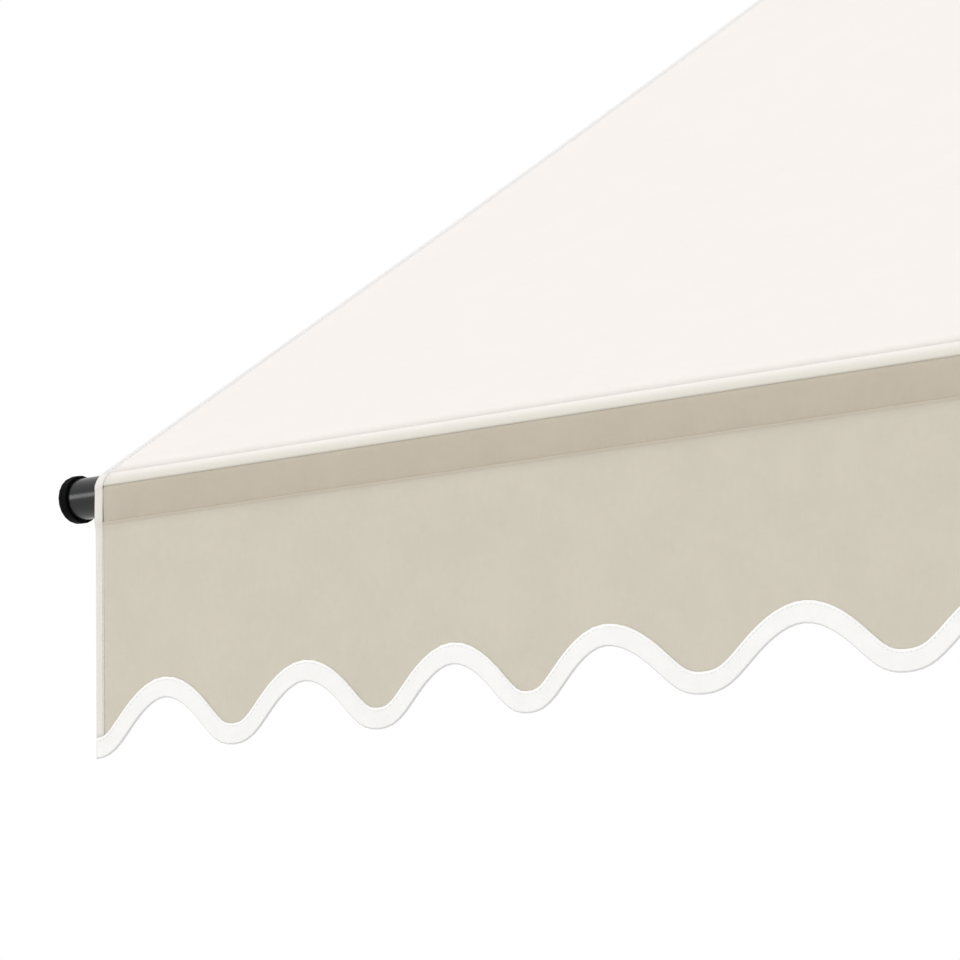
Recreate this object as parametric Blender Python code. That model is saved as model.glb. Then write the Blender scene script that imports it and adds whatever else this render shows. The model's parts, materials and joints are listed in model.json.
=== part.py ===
"""Clamp awning, 2.0 m wide with 1.5 m projection, drawn out.

Two telescopic posts are clamped between floor and ceiling. Their heads carry a square
torsion bar with the cloth roller, a worm gearbox and two folding arms, which push the
front bar and its scalloped valance out along the sloping canopy.

Metres, +Z up. +X runs to the right along the bars and -Y points outwards, away from
the wall. The origin is on the floor, midway between the two posts.
"""

import math

import bmesh
import bpy
from mathutils import Euler, Matrix, Vector

# Widths, all from the cloth's
CLOTH_HALF = 0.960
ROLLER_BEYOND_CLOTH = 0.012
BAR_BEYOND_CLOTH = 0.0265
POST_INSIDE_CLOTH = 0.060
ARM_INSIDE_POST = 0.065
ROLLER_HALF = CLOTH_HALF + ROLLER_BEYOND_CLOTH
BAR_HALF = CLOTH_HALF + BAR_BEYOND_CLOTH
POST_X = CLOTH_HALF - POST_INSIDE_CLOTH
ARM_X = POST_X - ARM_INSIDE_POST

# Room and posts; the head of the awning goes with the ceiling
CEILING_Z = 2.80
POST_BELOW_CEILING = 0.110
ROLLER_BELOW_POST_TOP = 0.090
UPPER_POST_TOP_Z = CEILING_Z - POST_BELOW_CEILING
LOWER_POST_R = 0.021
LOWER_POST_WALL = 0.0018
LOWER_POST_TOP_Z = 1.55
UPPER_POST_R = 0.018
UPPER_POST_WALL = 0.0015
UPPER_POST_OVERLAP = 0.50

# Feet and ceiling pads
FOOT_R = 0.050
FOOT_PAD_H = 0.007
FOOT_PLATE_H = 0.005
FOOT_SOCKET_H = 0.040
SOCKET_WALL = 0.003
SOCKET_FILLET = 0.005
CEILING_PAD_R = 0.040
CEILING_PAD_H = 0.007
CEILING_PLATE_H = 0.004
PAD_LIP = 0.003

# Screw jacks at the heads of the posts
SPINDLE_R = 0.008
SPINDLE_REACH = 0.120
SPINDLE_FLARE = 0.006
NUT_R = 0.026
NUT_H = 0.022
NUT_LOBES = 6
NUT_SPIGOT = 0.012

# Height collars and their knobs
COLLAR_R = 0.028
COLLAR_BELOW = 0.040
COLLAR_ABOVE = 0.022
COLLAR_TAPER = 0.004
COLLAR_TAPER_H = 0.012
COLLAR_BOSS_R = 0.011
COLLAR_BOSS_REACH = 0.036
KNOB_ABOVE_POST = 0.010
KNOB_R = 0.020
KNOB_T = 0.014
KNOB_BEVEL = 0.0015
KNOB_LOBES = 6
KNOB_STEM_R = 0.004

# Slope frame: X along the roller, Y up the slope, Z square to the canopy
SLOPE = math.radians(33.5)
ROLLER_Y = -0.082
ROLLER_Z = UPPER_POST_TOP_Z - ROLLER_BELOW_POST_TOP

# Cloth roller
ROLLER_R = 0.0250
ROLLER_WALL = 0.0015
ROLL_R = 0.0268
PLUG_DEPTH = 0.030
PLUG_FLANGE = 0.002
JOURNAL_R = 0.007
JOURNAL_PROUD = 0.003
SQUARE_SHAFT = 0.009

# Cloth
CLOTH_T = 0.0008
END_WAVES = 3.5
END_PITCH = 0.145
MID_WAVES = 5
WAVE_SAMPLES = 8
VALANCE_PEAK = 0.1644
VALANCE_TROUGH = 0.2065
VALANCE_LEAN = 0.024
BINDING_H = 0.018
BINDING_T = 0.0005
SEAM_Y = -0.0155
SEAM_Z = -0.0224
SEAM_R = 0.0011

# Front bar
BAR_R = 0.016
BAR_WALL = 0.0015
CAP_R = 0.0185
CAP_T = 0.0105
CAP_PLUG = 0.022
CAP_ROUNDING = 0.004
CAP_EDGE = 0.0006

# Torsion bar, in the slope frame
TORSION_SIZE = 0.040
TORSION_WALL = 0.0025
TORSION_OUT = -0.005
TORSION_N = -0.056
BRACKET_T = 0.006
BRACKET_RIM = 0.012
BRACKET_SPIGOT = 0.025
POST_CLAMP_W = 0.056
POST_CLAMP_H = 0.070
POST_CLAMP_WALL = 0.006
POST_CLAMP_ROUNDING = 0.012
POST_CLAMP_SLIT = 0.002

# Folding arms, in the slope frame
ARM_PLANE_N = -0.028
SHOULDER_OUT = 0.045
ARM_REST = math.radians(16.0)
ARM_LENGTH = 0.750
ELBOW_OFFSET = 0.0222
ARM_W = 0.038
ARM_H = 0.026
ARM_WALL = 0.002
ARM_ROUNDING = 0.006
PIN_R = 0.005
PIN_HEAD_R = 0.008
PIN_HEAD_H = 0.0025
EYE_R = 0.0115
FORK_BEYOND_EYE = 0.001
FORK_CORNER_R = 0.002
EYE_HALF = 0.0070
LUG_T = 0.0050
LUG_CORNER_R = 0.003
EAR_INSET = 0.001
FLANGE_T = 0.004
FLANGE_GAP = 0.014
PLUG_L = 0.035
SHOULDER_BEHIND_EYE = 0.002
SHOULDER_BASE_T = 0.009
SHOULDER_BASE_W = 0.060
SHOULDER_BASE_H = 0.048
WRIST_SET_BACK = 0.045
WRIST_W = 0.026
WRIST_BEHIND_EYE = 0.0025
WRIST_WRAP = 0.0035
WRIST_WEB = 0.007
SADDLE_TOP = 0.009

# Worm gearbox at the right end
GEAR_MODULE = 0.002
WHEEL_TEETH = 14
WORM_STARTS = 2
WORM_R = 0.007
ADDENDUM = 0.8
DEDENDUM = 1.1
WHEEL_T = 0.008
WHEEL_TOOTH_SHARE = 0.40
WORM_STEPS = 16
WORM_HALF = 0.0105
WORM_SHAFT_R = 0.0045
GEAR_WALL = 0.0035
GEAR_INNER_HALF = 0.0065
GEAR_BEYOND_WORM = 0.010
GEAR_OFFSET_X = 0.014
WORM_DROP = 0.040
EYE_RING_R = 0.014
EYE_WIRE_R = 0.0035
EYE_WIRE_SEG = 8
EYE_COLLAR = 0.002
EYE_COLLAR_H = 0.008
SPINDLE_ABOVE_WORM = 0.006

# Clearances, and how far helpers pass or sink into what they cut or join
GAP = 0.0003
OVERRUN = 0.010
SINK = 0.003
HELPER_REACH = 0.060
CLAMP_REACH = 0.100

# Small edges
CHAMFER = 0.001
LEAD_IN = 0.002
CORNER_R = 0.003
TORSION_ROUNDING = 0.004
GRIP_DEPTH = 0.004

# Steps round a circle
SEG = 14
FINE_SEG = 20
PIN_SEG = 10
EYE_SEG = 16

# Derived places
OUT_REST = 2 * (ARM_LENGTH * math.cos(ARM_REST) + ELBOW_OFFSET * math.sin(ARM_REST))
POCKET_R = BAR_R + GAP + CLOTH_T
BAR_OUT = SHOULDER_OUT + OUT_REST + WRIST_SET_BACK
BAR_N = ROLL_R - POCKET_R
WHEEL_R = GEAR_MODULE * WHEEL_TEETH / 2
GEAR_X = ROLLER_HALF + PLUG_FLANGE + BRACKET_T + GEAR_OFFSET_X

# Colours: RGB, roughness, metallic
FINISHES = {
    "anthracite": ((0.030, 0.031, 0.033), 0.35, 0.3),
    "black_plastic": ((0.010, 0.010, 0.010), 0.45, 0.0),
    "rubber": ((0.020, 0.020, 0.020), 0.85, 0.0),
    "zinc": ((0.55, 0.56, 0.58), 0.35, 1.0),
    "bronze": ((0.55, 0.38, 0.16), 0.40, 1.0),
    "cloth": ((0.80, 0.75, 0.66), 0.90, 0.0),
    "binding": ((0.93, 0.92, 0.90), 0.85, 0.0),
}


def clear_scene():
    """Remove every object, so that the model starts from nothing."""
    for obj in list(bpy.data.objects):
        bpy.data.objects.remove(obj, do_unlink=True)


def finish(name):
    """The named Principled material, made once."""
    material = bpy.data.materials.get(name)
    if material is None:
        colour, roughness, metallic = FINISHES[name]
        material = bpy.data.materials.new(name)
        material.use_nodes = True
        shader = material.node_tree.nodes["Principled BSDF"]
        shader.inputs["Base Color"].default_value = (*colour, 1.0)
        shader.inputs["Roughness"].default_value = roughness
        shader.inputs["Metallic"].default_value = metallic
    return material


def frame(name, parent=None, location=(0, 0, 0), rotation=(0, 0, 0)):
    """An empty that stands for a joint or a local frame."""
    empty = bpy.data.objects.new(name, None)
    empty.empty_display_size = 0.05
    empty.parent = parent
    empty.location = location
    empty.rotation_euler = rotation
    bpy.context.scene.collection.objects.link(empty)
    return empty


def solid(name, bm, material, parent=None, location=(0, 0, 0), rotation=(0, 0, 0)):
    """Make an object from a bmesh and place it under its parent."""
    bmesh.ops.recalc_face_normals(bm, faces=bm.faces)
    mesh = bpy.data.meshes.new(name)
    bm.to_mesh(mesh)
    bm.free()
    mesh.materials.append(finish(material))
    mesh.shade_smooth()
    mesh.set_sharp_from_angle(angle=math.radians(35))
    obj = bpy.data.objects.new(name, mesh)
    obj.parent = parent
    obj.location = location
    obj.rotation_euler = rotation
    bpy.context.scene.collection.objects.link(obj)
    return obj


def guide(obj):
    """Mark an object as a helper for a Boolean, not a piece of the product."""
    obj.hide_render = True
    obj.display_type = "WIRE"
    return obj


def boolean(obj, helper, operation):
    modifier = obj.modifiers.new(helper.name, "BOOLEAN")
    modifier.operation = operation
    modifier.solver = "EXACT"
    modifier.object = guide(helper)
    return obj


def cut(obj, helper):
    return boolean(obj, helper, "DIFFERENCE")


def fuse(obj, helper):
    return boolean(obj, helper, "UNION")


def turned(profile, segments=SEG, closed=False):
    """Turn a profile of (radius, height) points about +Z."""
    bm = bmesh.new()
    rings = []
    for radius, height in profile:
        if radius == 0:
            rings.append([bm.verts.new((0, 0, height))])
            continue
        ring = []
        for step in range(segments):
            angle = 2 * math.pi * step / segments
            ring.append(bm.verts.new((radius * math.cos(angle), radius * math.sin(angle), height)))
        rings.append(ring)
    pairs = list(zip(rings, rings[1:]))
    if closed:
        pairs.append((rings[-1], rings[0]))
    for low, high in pairs:
        for step in range(segments):
            after = (step + 1) % segments
            corners = [low[step % len(low)], low[after % len(low)]]
            corners += [high[after % len(high)], high[step % len(high)]]
            unique = [v for index, v in enumerate(corners) if v not in corners[:index]]
            bm.faces.new(unique)
    return bm


def rod(radius, low, high, segments=SEG):
    """A solid round bar along +Z, its ends flat faces."""
    bm = bmesh.new()
    depth = high - low
    bmesh.ops.create_cone(bm, cap_ends=True, segments=segments, radius1=radius, radius2=radius, depth=depth)
    bmesh.ops.translate(bm, verts=bm.verts, vec=(0, 0, (low + high) / 2))
    return bm


def pipe(outer, inner, low, high, segments=SEG):
    """A round tube along +Z."""
    return turned([(outer, low), (outer, high), (inner, high), (inner, low)], segments, closed=True)


def box(low, high):
    bm = bmesh.new()
    bmesh.ops.create_cube(bm, size=1)
    for vert in bm.verts:
        for axis in range(3):
            vert.co[axis] = high[axis] if vert.co[axis] > 0 else low[axis]
    return bm


def extruded(outline, low, high):
    """A flat outline in XY, pulled up from low to high."""
    bm = bmesh.new()
    bottom = [bm.verts.new((x, y, low)) for x, y in outline]
    top = [bm.verts.new((x, y, high)) for x, y in outline]
    bm.faces.new(list(reversed(bottom)))
    bm.faces.new(top)
    for index in range(len(outline)):
        after = (index + 1) % len(outline)
        bm.faces.new([bottom[index], bottom[after], top[after], top[index]])
    return bm


def ring_extruded(outer, inner, low, high):
    """A wall between two outlines with as many points each."""
    bm = bmesh.new()
    loops = []
    for outline, height in ((outer, low), (outer, high), (inner, high), (inner, low)):
        loops.append([bm.verts.new((x, y, height)) for x, y in outline])
    for loop, following in zip(loops, loops[1:] + loops[:1]):
        for index in range(len(loop)):
            after = (index + 1) % len(loop)
            bm.faces.new([loop[index], loop[after], following[after], following[index]])
    return bm


def lay_across(bm, hand=1, shift=0):
    """Turn a pulled outline so that it stands in YZ and the pull runs along X."""
    matrix = Matrix(((0, 0, hand, 0), (1, 0, 0, shift), (0, 1, 0, 0), (0, 0, 0, 1)))
    bmesh.ops.transform(bm, matrix=matrix, verts=bm.verts)
    return bm


def arc(centre, radius, start, end, steps):
    points = []
    for step in range(steps + 1):
        angle = math.radians(start + (end - start) * step / steps)
        points.append((centre[0] + radius * math.cos(angle), centre[1] + radius * math.sin(angle)))
    return points


def rounded_rectangle(width, height, radius, steps=2):
    points = []
    for quarter, (sx, sy) in enumerate(((1, 1), (-1, 1), (-1, -1), (1, -1))):
        centre = (sx * (width / 2 - radius), sy * (height / 2 - radius))
        points += arc(centre, radius, 90 * quarter, 90 * quarter + 90, steps)
    return points


def belt(circles, steps=16):
    """The outline of a belt stretched round circles (x, y, radius)."""
    points = []
    for x, y, radius in circles:
        points += arc((x, y), radius, 0, 360 - 360 / steps, steps - 1)
    points = sorted(set(points))

    def half(ordered):
        chain = []
        for point in ordered:
            while len(chain) > 1:
                ax, ay = chain[-1][0] - chain[-2][0], chain[-1][1] - chain[-2][1]
                bx, by = point[0] - chain[-1][0], point[1] - chain[-1][1]
                if ax * by - ay * bx > 1e-12:
                    break
                chain.pop()
            chain.append(point)
        return chain[:-1]

    return half(points) + half(list(reversed(points)))


def tangent_loop(big, small, big_steps=24, small_steps=5):
    """A belt round a big and a small circle, with a fixed number of points."""
    bx, by, big_r = big
    sx, sy, small_r = small
    heading = math.degrees(math.atan2(sy - by, sx - bx))
    spread = math.degrees(math.acos((big_r - small_r) / math.hypot(sx - bx, sy - by)))
    points = arc((bx, by), big_r, heading + spread, heading + 360 - spread, big_steps)
    points += arc((sx, sy), small_r, heading - spread, heading + spread, small_steps)
    return points


def lobed(radius, lobes, depth, steps=5):
    """A star grip's outline."""
    points = []
    for index in range(lobes * steps):
        angle = 2 * math.pi * index / (lobes * steps)
        wave = radius - depth * (1 - math.cos(lobes * angle)) / 2
        points.append((wave * math.cos(angle), wave * math.sin(angle)))
    return points


ALONG_X = (0, math.pi / 2, 0)


def slope_matrix():
    return Matrix.Translation((0, ROLLER_Y, ROLLER_Z)) @ Euler((SLOPE, 0, 0)).to_matrix().to_4x4()


# Posts


def build_foot(side, x):
    """Rubber pad, pressed plate with a socket, and the lower post standing in it."""
    plate_z = FOOT_PAD_H + GAP
    pad = turned(
        [
            (0, 0),
            (FOOT_R, 0),
            (FOOT_R + PAD_LIP, CHAMFER),
            (FOOT_R + PAD_LIP, FOOT_PAD_H + FOOT_PLATE_H),
            (FOOT_R + GAP, FOOT_PAD_H + FOOT_PLATE_H),
            (FOOT_R + GAP, FOOT_PAD_H),
            (0, FOOT_PAD_H),
        ],
        FINE_SEG,
    )
    solid(f"{side}_foot_pad", pad, "rubber", location=(x, 0, 0))
    bore = LOWER_POST_R + GAP
    floor = plate_z + FOOT_PLATE_H
    plate = turned(
        [
            (0, plate_z),
            (FOOT_R, plate_z),
            (FOOT_R, floor - CHAMFER),
            (bore + SOCKET_WALL + SOCKET_FILLET, floor + CHAMFER),
            (bore + SOCKET_WALL, floor + CHAMFER + SOCKET_FILLET),
            (bore + SOCKET_WALL, floor + FOOT_SOCKET_H),
            (bore, floor + FOOT_SOCKET_H),
            (bore, floor),
            (0, floor),
        ],
        FINE_SEG,
    )
    solid(f"{side}_foot_plate", plate, "anthracite", location=(x, 0, 0))
    post = pipe(LOWER_POST_R, LOWER_POST_R - LOWER_POST_WALL, floor + GAP, LOWER_POST_TOP_Z, FINE_SEG)
    solid(f"{side}_lower_post", post, "anthracite", location=(x, 0, 0))


def build_collar(side, x):
    """Moulded collar over the joint of the two posts, with its knob at the front."""
    low = LOWER_POST_TOP_Z - COLLAR_BELOW
    high = LOWER_POST_TOP_Z + COLLAR_ABOVE
    lower_bore = LOWER_POST_R + GAP
    upper_bore = UPPER_POST_R + GAP
    body = turned(
        [
            (lower_bore, low),
            (COLLAR_R - LEAD_IN, low),
            (COLLAR_R, low + CORNER_R),
            (COLLAR_R, high - COLLAR_TAPER_H),
            (COLLAR_R - COLLAR_TAPER, high),
            (upper_bore, high),
            (upper_bore, LOWER_POST_TOP_Z + GAP),
            (lower_bore, LOWER_POST_TOP_Z + GAP),
        ],
        FINE_SEG,
        closed=True,
    )
    collar = solid(f"{side}_post_collar", body, "black_plastic", location=(x, 0, 0))
    knob_z = LOWER_POST_TOP_Z + KNOB_ABOVE_POST
    outwards = (math.pi / 2, 0, 0)
    boss = rod(COLLAR_BOSS_R, upper_bore + SINK, COLLAR_BOSS_REACH)
    fuse(collar, solid(f"{side}_collar_boss", boss, "black_plastic", None, (x, 0, knob_z), outwards))
    stem_hole = rod(KNOB_STEM_R + GAP, upper_bore / 2, COLLAR_BOSS_REACH + OVERRUN)
    cut(collar, solid(f"{side}_stem_hole", stem_hole, "black_plastic", None, (x, 0, knob_z), outwards))

    pivot = frame(f"{side}_knob_turn", None, (x, 0, knob_z), outwards)
    face = COLLAR_BOSS_REACH + GAP
    grip = extruded(lobed(KNOB_R, KNOB_LOBES, GRIP_DEPTH), face, face + KNOB_T)
    bmesh.ops.bevel(
        grip,
        geom=[edge for edge in grip.edges if abs(edge.verts[0].co.z - edge.verts[1].co.z) < 1e-6],
        offset=KNOB_BEVEL,
        segments=1,
        affect="EDGES",
    )
    knob = solid(f"{side}_clamp_knob", grip, "black_plastic", pivot)
    stem = rod(KNOB_STEM_R, upper_bore, face + SINK, PIN_SEG)
    fuse(knob, solid(f"{side}_knob_stem", stem, "black_plastic", pivot))


def build_upper_post(side, x, head):
    """Inner post, with the hand nut and the spindle that presses on the ceiling."""
    low = LOWER_POST_TOP_Z - UPPER_POST_OVERLAP
    bore = UPPER_POST_R - UPPER_POST_WALL
    post = pipe(UPPER_POST_R, bore, low, UPPER_POST_TOP_Z, FINE_SEG)
    solid(f"{side}_upper_post", post, "anthracite", head, (x, 0, 0))

    turn = frame(f"{side}_nut_turn", head, (x, 0, UPPER_POST_TOP_Z))
    nut = extruded(lobed(NUT_R, NUT_LOBES, GRIP_DEPTH), GAP, NUT_H)
    nut = solid(f"{side}_jack_nut", nut, "anthracite", turn)
    spigot = rod(bore - GAP, -NUT_SPIGOT, SINK)
    fuse(nut, solid(f"{side}_nut_spigot", spigot, "anthracite", turn))
    thread = rod(SPINDLE_R + GAP, -NUT_SPIGOT - OVERRUN, NUT_H + OVERRUN)
    cut(nut, solid(f"{side}_nut_thread", thread, "anthracite", turn))

    lift = frame(f"{side}_jack_lift", head, (x, 0, CEILING_Z))
    plate_top = -CEILING_PAD_H - GAP
    plate_low = plate_top - CEILING_PLATE_H
    foot = UPPER_POST_TOP_Z - CEILING_Z - SPINDLE_REACH
    spindle = turned(
        [
            (0, foot),
            (SPINDLE_R - LEAD_IN, foot),
            (SPINDLE_R, foot + LEAD_IN),
            (SPINDLE_R, plate_low - SPINDLE_FLARE),
            (SPINDLE_R + SPINDLE_FLARE, plate_low),
            (CEILING_PAD_R, plate_low),
            (CEILING_PAD_R, plate_top),
            (0, plate_top),
        ],
        FINE_SEG,
    )
    solid(f"{side}_jack_spindle", spindle, "zinc", lift)
    rim = CEILING_PAD_R + PAD_LIP
    pad = turned(
        [
            (0, 0),
            (rim - CHAMFER, 0),
            (rim, -CHAMFER),
            (rim, plate_low),
            (CEILING_PAD_R + GAP, plate_low),
            (CEILING_PAD_R + GAP, -CEILING_PAD_H),
            (0, -CEILING_PAD_H),
        ],
        FINE_SEG,
    )
    solid(f"{side}_ceiling_pad", pad, "rubber", lift)


# Head: torsion bar, brackets and clamps


def build_torsion_bar(slope):
    """Square tube across the whole width, tilted with the canopy."""
    half = TORSION_SIZE / 2
    inner = half - TORSION_WALL
    outer_loop = rounded_rectangle(2 * half, 2 * half, TORSION_ROUNDING)
    inner_loop = rounded_rectangle(2 * inner, 2 * inner, TORSION_ROUNDING / 2)
    tube = ring_extruded(outer_loop, inner_loop, -ROLLER_HALF, ROLLER_HALF)
    place = (0, -TORSION_OUT, TORSION_N)
    solid("torsion_bar", tube, "anthracite", slope, place, ALONG_X)


def build_post_clamp(side, x, head, slope):
    """Cast block round the upper post with a square eye for the torsion bar."""
    torsion = slope_matrix() @ Vector((x, -TORSION_OUT, TORSION_N))
    reach = TORSION_SIZE / 2 + POST_CLAMP_WALL - CORNER_R
    corners = []
    for up, high in ((reach, reach), (reach, -reach), (-reach, -reach), (-reach, reach)):
        corner = slope_matrix() @ Vector((x, up - TORSION_OUT, high + TORSION_N))
        corners.append((corner.y, corner.z, CORNER_R))
    post_r = UPPER_POST_R + POST_CLAMP_WALL
    back = post_r - POST_CLAMP_ROUNDING
    half = POST_CLAMP_W / 2
    # Side view with Y to the right and Z up, pulled across X
    outline = belt(
        [
            *corners,
            (back, torsion.z + POST_CLAMP_H / 2 - POST_CLAMP_ROUNDING, POST_CLAMP_ROUNDING),
            (back, torsion.z - POST_CLAMP_H / 2 + POST_CLAMP_ROUNDING, POST_CLAMP_ROUNDING),
        ]
    )
    block = lay_across(extruded(outline, x - half, x + half))
    clamp = solid(f"{side}_post_clamp", block, "anthracite", head)
    post_bore = rod(UPPER_POST_R + GAP, torsion.z - CLAMP_REACH, torsion.z + CLAMP_REACH, FINE_SEG)
    cut(clamp, solid(f"{side}_clamp_bore", post_bore, "anthracite", head, (x, 0, 0)))
    size = TORSION_SIZE / 2 + GAP
    eye = extruded(rounded_rectangle(2 * size, 2 * size, TORSION_ROUNDING), -half - OVERRUN, half + OVERRUN)
    eye = solid(f"{side}_clamp_eye", eye, "anthracite", slope, (x, -TORSION_OUT, TORSION_N), ALONG_X)
    cut(clamp, eye)
    slit_half = POST_CLAMP_SLIT / 2
    slit = box((-slit_half, 0, -CLAMP_REACH), (slit_half, post_r + OVERRUN, CLAMP_REACH))
    cut(clamp, solid(f"{side}_clamp_slit", slit, "anthracite", head, (x, 0, torsion.z)))


def build_roller_bracket(side, hand, slope, bore):
    """End plate that closes the torsion bar and carries the roller's journal."""
    inner_x = ROLLER_HALF + PLUG_FLANGE
    corner = TORSION_SIZE / 2 - TORSION_ROUNDING / 2
    torsion_y = -TORSION_OUT
    outline = belt(
        [
            (0, 0, bore + BRACKET_RIM),
            (torsion_y - corner, TORSION_N - corner, TORSION_ROUNDING),
            (torsion_y + corner, TORSION_N - corner, TORSION_ROUNDING),
            (torsion_y + corner, TORSION_N + corner, TORSION_ROUNDING),
            (torsion_y - corner, TORSION_N + corner, TORSION_ROUNDING),
        ]
    )
    plate = lay_across(extruded(outline, inner_x, inner_x + BRACKET_T), hand)
    bracket = solid(f"{side}_roller_bracket", plate, "anthracite", slope)
    size = TORSION_SIZE / 2 - TORSION_WALL - GAP
    spigot = extruded(rounded_rectangle(2 * size, 2 * size, TORSION_ROUNDING / 2), 0, BRACKET_SPIGOT + SINK)
    low = inner_x - BRACKET_SPIGOT if hand > 0 else -inner_x - SINK
    place = (low, torsion_y, TORSION_N)
    fuse(bracket, solid(f"{side}_bracket_spigot", spigot, "anthracite", slope, place, ALONG_X))
    hole = rod(bore, hand * inner_x - 2 * OVERRUN, hand * inner_x + 2 * OVERRUN)
    cut(bracket, solid(f"{side}_journal_hole", hole, "anthracite", slope, (0, 0, 0), ALONG_X))


# Roller


def build_roller(spin):
    """Steel tube with its turns of cloth and the two end plugs."""
    tube = pipe(ROLLER_R, ROLLER_R - ROLLER_WALL, -ROLLER_HALF, ROLLER_HALF, FINE_SEG)
    solid("roller_tube", tube, "zinc", spin, (0, 0, 0), ALONG_X)
    turns = pipe(ROLL_R, ROLLER_R + GAP, -CLOTH_HALF, CLOTH_HALF, FINE_SEG)
    solid("cloth_roll", turns, "cloth", spin, (0, 0, 0), ALONG_X)

    plug_r = ROLLER_R - ROLLER_WALL - GAP
    inside = ROLLER_HALF - PLUG_DEPTH
    face = ROLLER_HALF + PLUG_FLANGE - GAP
    plug = [
        (0, inside),
        (plug_r - CHAMFER, inside),
        (plug_r, inside + LEAD_IN),
        (plug_r, ROLLER_HALF + GAP),
        (ROLLER_R, ROLLER_HALF + GAP),
        (ROLLER_R, face),
        (JOURNAL_R, face),
    ]
    idle_end = ROLLER_HALF + PLUG_FLANGE + BRACKET_T + JOURNAL_PROUD
    idle = turned(plug + [(JOURNAL_R, idle_end - CHAMFER), (JOURNAL_R - CHAMFER, idle_end), (0, idle_end)])
    solid("idle_plug", idle, "black_plastic", spin, (0, 0, 0), (0, -math.pi / 2, 0))
    drive_end = GEAR_X - WHEEL_T / 2 - GAP
    drive = turned(plug + [(JOURNAL_R, drive_end), (0, drive_end)])
    drive = solid("drive_plug", drive, "zinc", spin, (0, 0, 0), ALONG_X)
    half = SQUARE_SHAFT / 2
    square = box((-half, -half, drive_end - SINK), (half, half, GEAR_X + WHEEL_T / 2 + LEAD_IN))
    fuse(drive, solid("drive_square", square, "zinc", spin, (0, 0, 0), ALONG_X))


# Gearbox


def wheel_outline(twist):
    """One section of the helical worm wheel, a tooth space facing the worm."""
    tip = WHEEL_R + ADDENDUM * GEAR_MODULE
    root = WHEEL_R - DEDENDUM * GEAR_MODULE
    pitch = 2 * math.pi / WHEEL_TEETH
    half_tooth = WHEEL_TOOTH_SHARE * pitch / 2
    points = []
    for tooth in range(WHEEL_TEETH):
        centre = pitch * (tooth + 0.5) + twist
        for radius, share in ((root, -1.35), (tip, -0.55), (tip, 0.55), (root, 1.35)):
            angle = centre + share * half_tooth
            points.append((radius * math.cos(angle), radius * math.sin(angle)))
    return points


def build_worm_wheel(spin):
    """Bronze wheel keyed on the roller's square shaft, its teeth set to the worm's lead."""
    lead_slope = WORM_STARTS * GEAR_MODULE / 2 / WORM_R
    bm = bmesh.new()
    rings = []
    for level in range(3):
        x = WHEEL_T * (level / 2 - 0.5)
        ring = []
        for across, up in wheel_outline(-lead_slope * x / WHEEL_R):
            # The outline's first axis points to the worm, at -Y
            ring.append(bm.verts.new((x, -across, up)))
        rings.append(ring)
    for low, high in zip(rings, rings[1:]):
        for index in range(len(low)):
            after = (index + 1) % len(low)
            bm.faces.new([low[index], low[after], high[after], high[index]])
    bm.faces.new(rings[0])
    bm.faces.new(rings[-1])
    world_tilt = (-SLOPE, 0, 0)
    wheel = solid("worm_wheel", bm, "bronze", spin, (GEAR_X, 0, 0), world_tilt)
    half = SQUARE_SHAFT / 2 + GAP
    keyway = box((-half, -half, GEAR_X - WHEEL_T), (half, half, GEAR_X + WHEEL_T))
    cut(wheel, solid("wheel_square", keyway, "bronze", spin, (0, 0, 0), ALONG_X))


def worm_radius(level):
    """Radius of the thread at a step along its pitch: crest, flanks and root."""
    steps = WORM_STEPS // WORM_STARTS
    phase = (level + steps / 2) % steps - steps / 2
    crest = WORM_R + ADDENDUM * GEAR_MODULE
    root = WORM_R - DEDENDUM * GEAR_MODULE
    return crest if abs(phase) <= 1.01 else root


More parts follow.
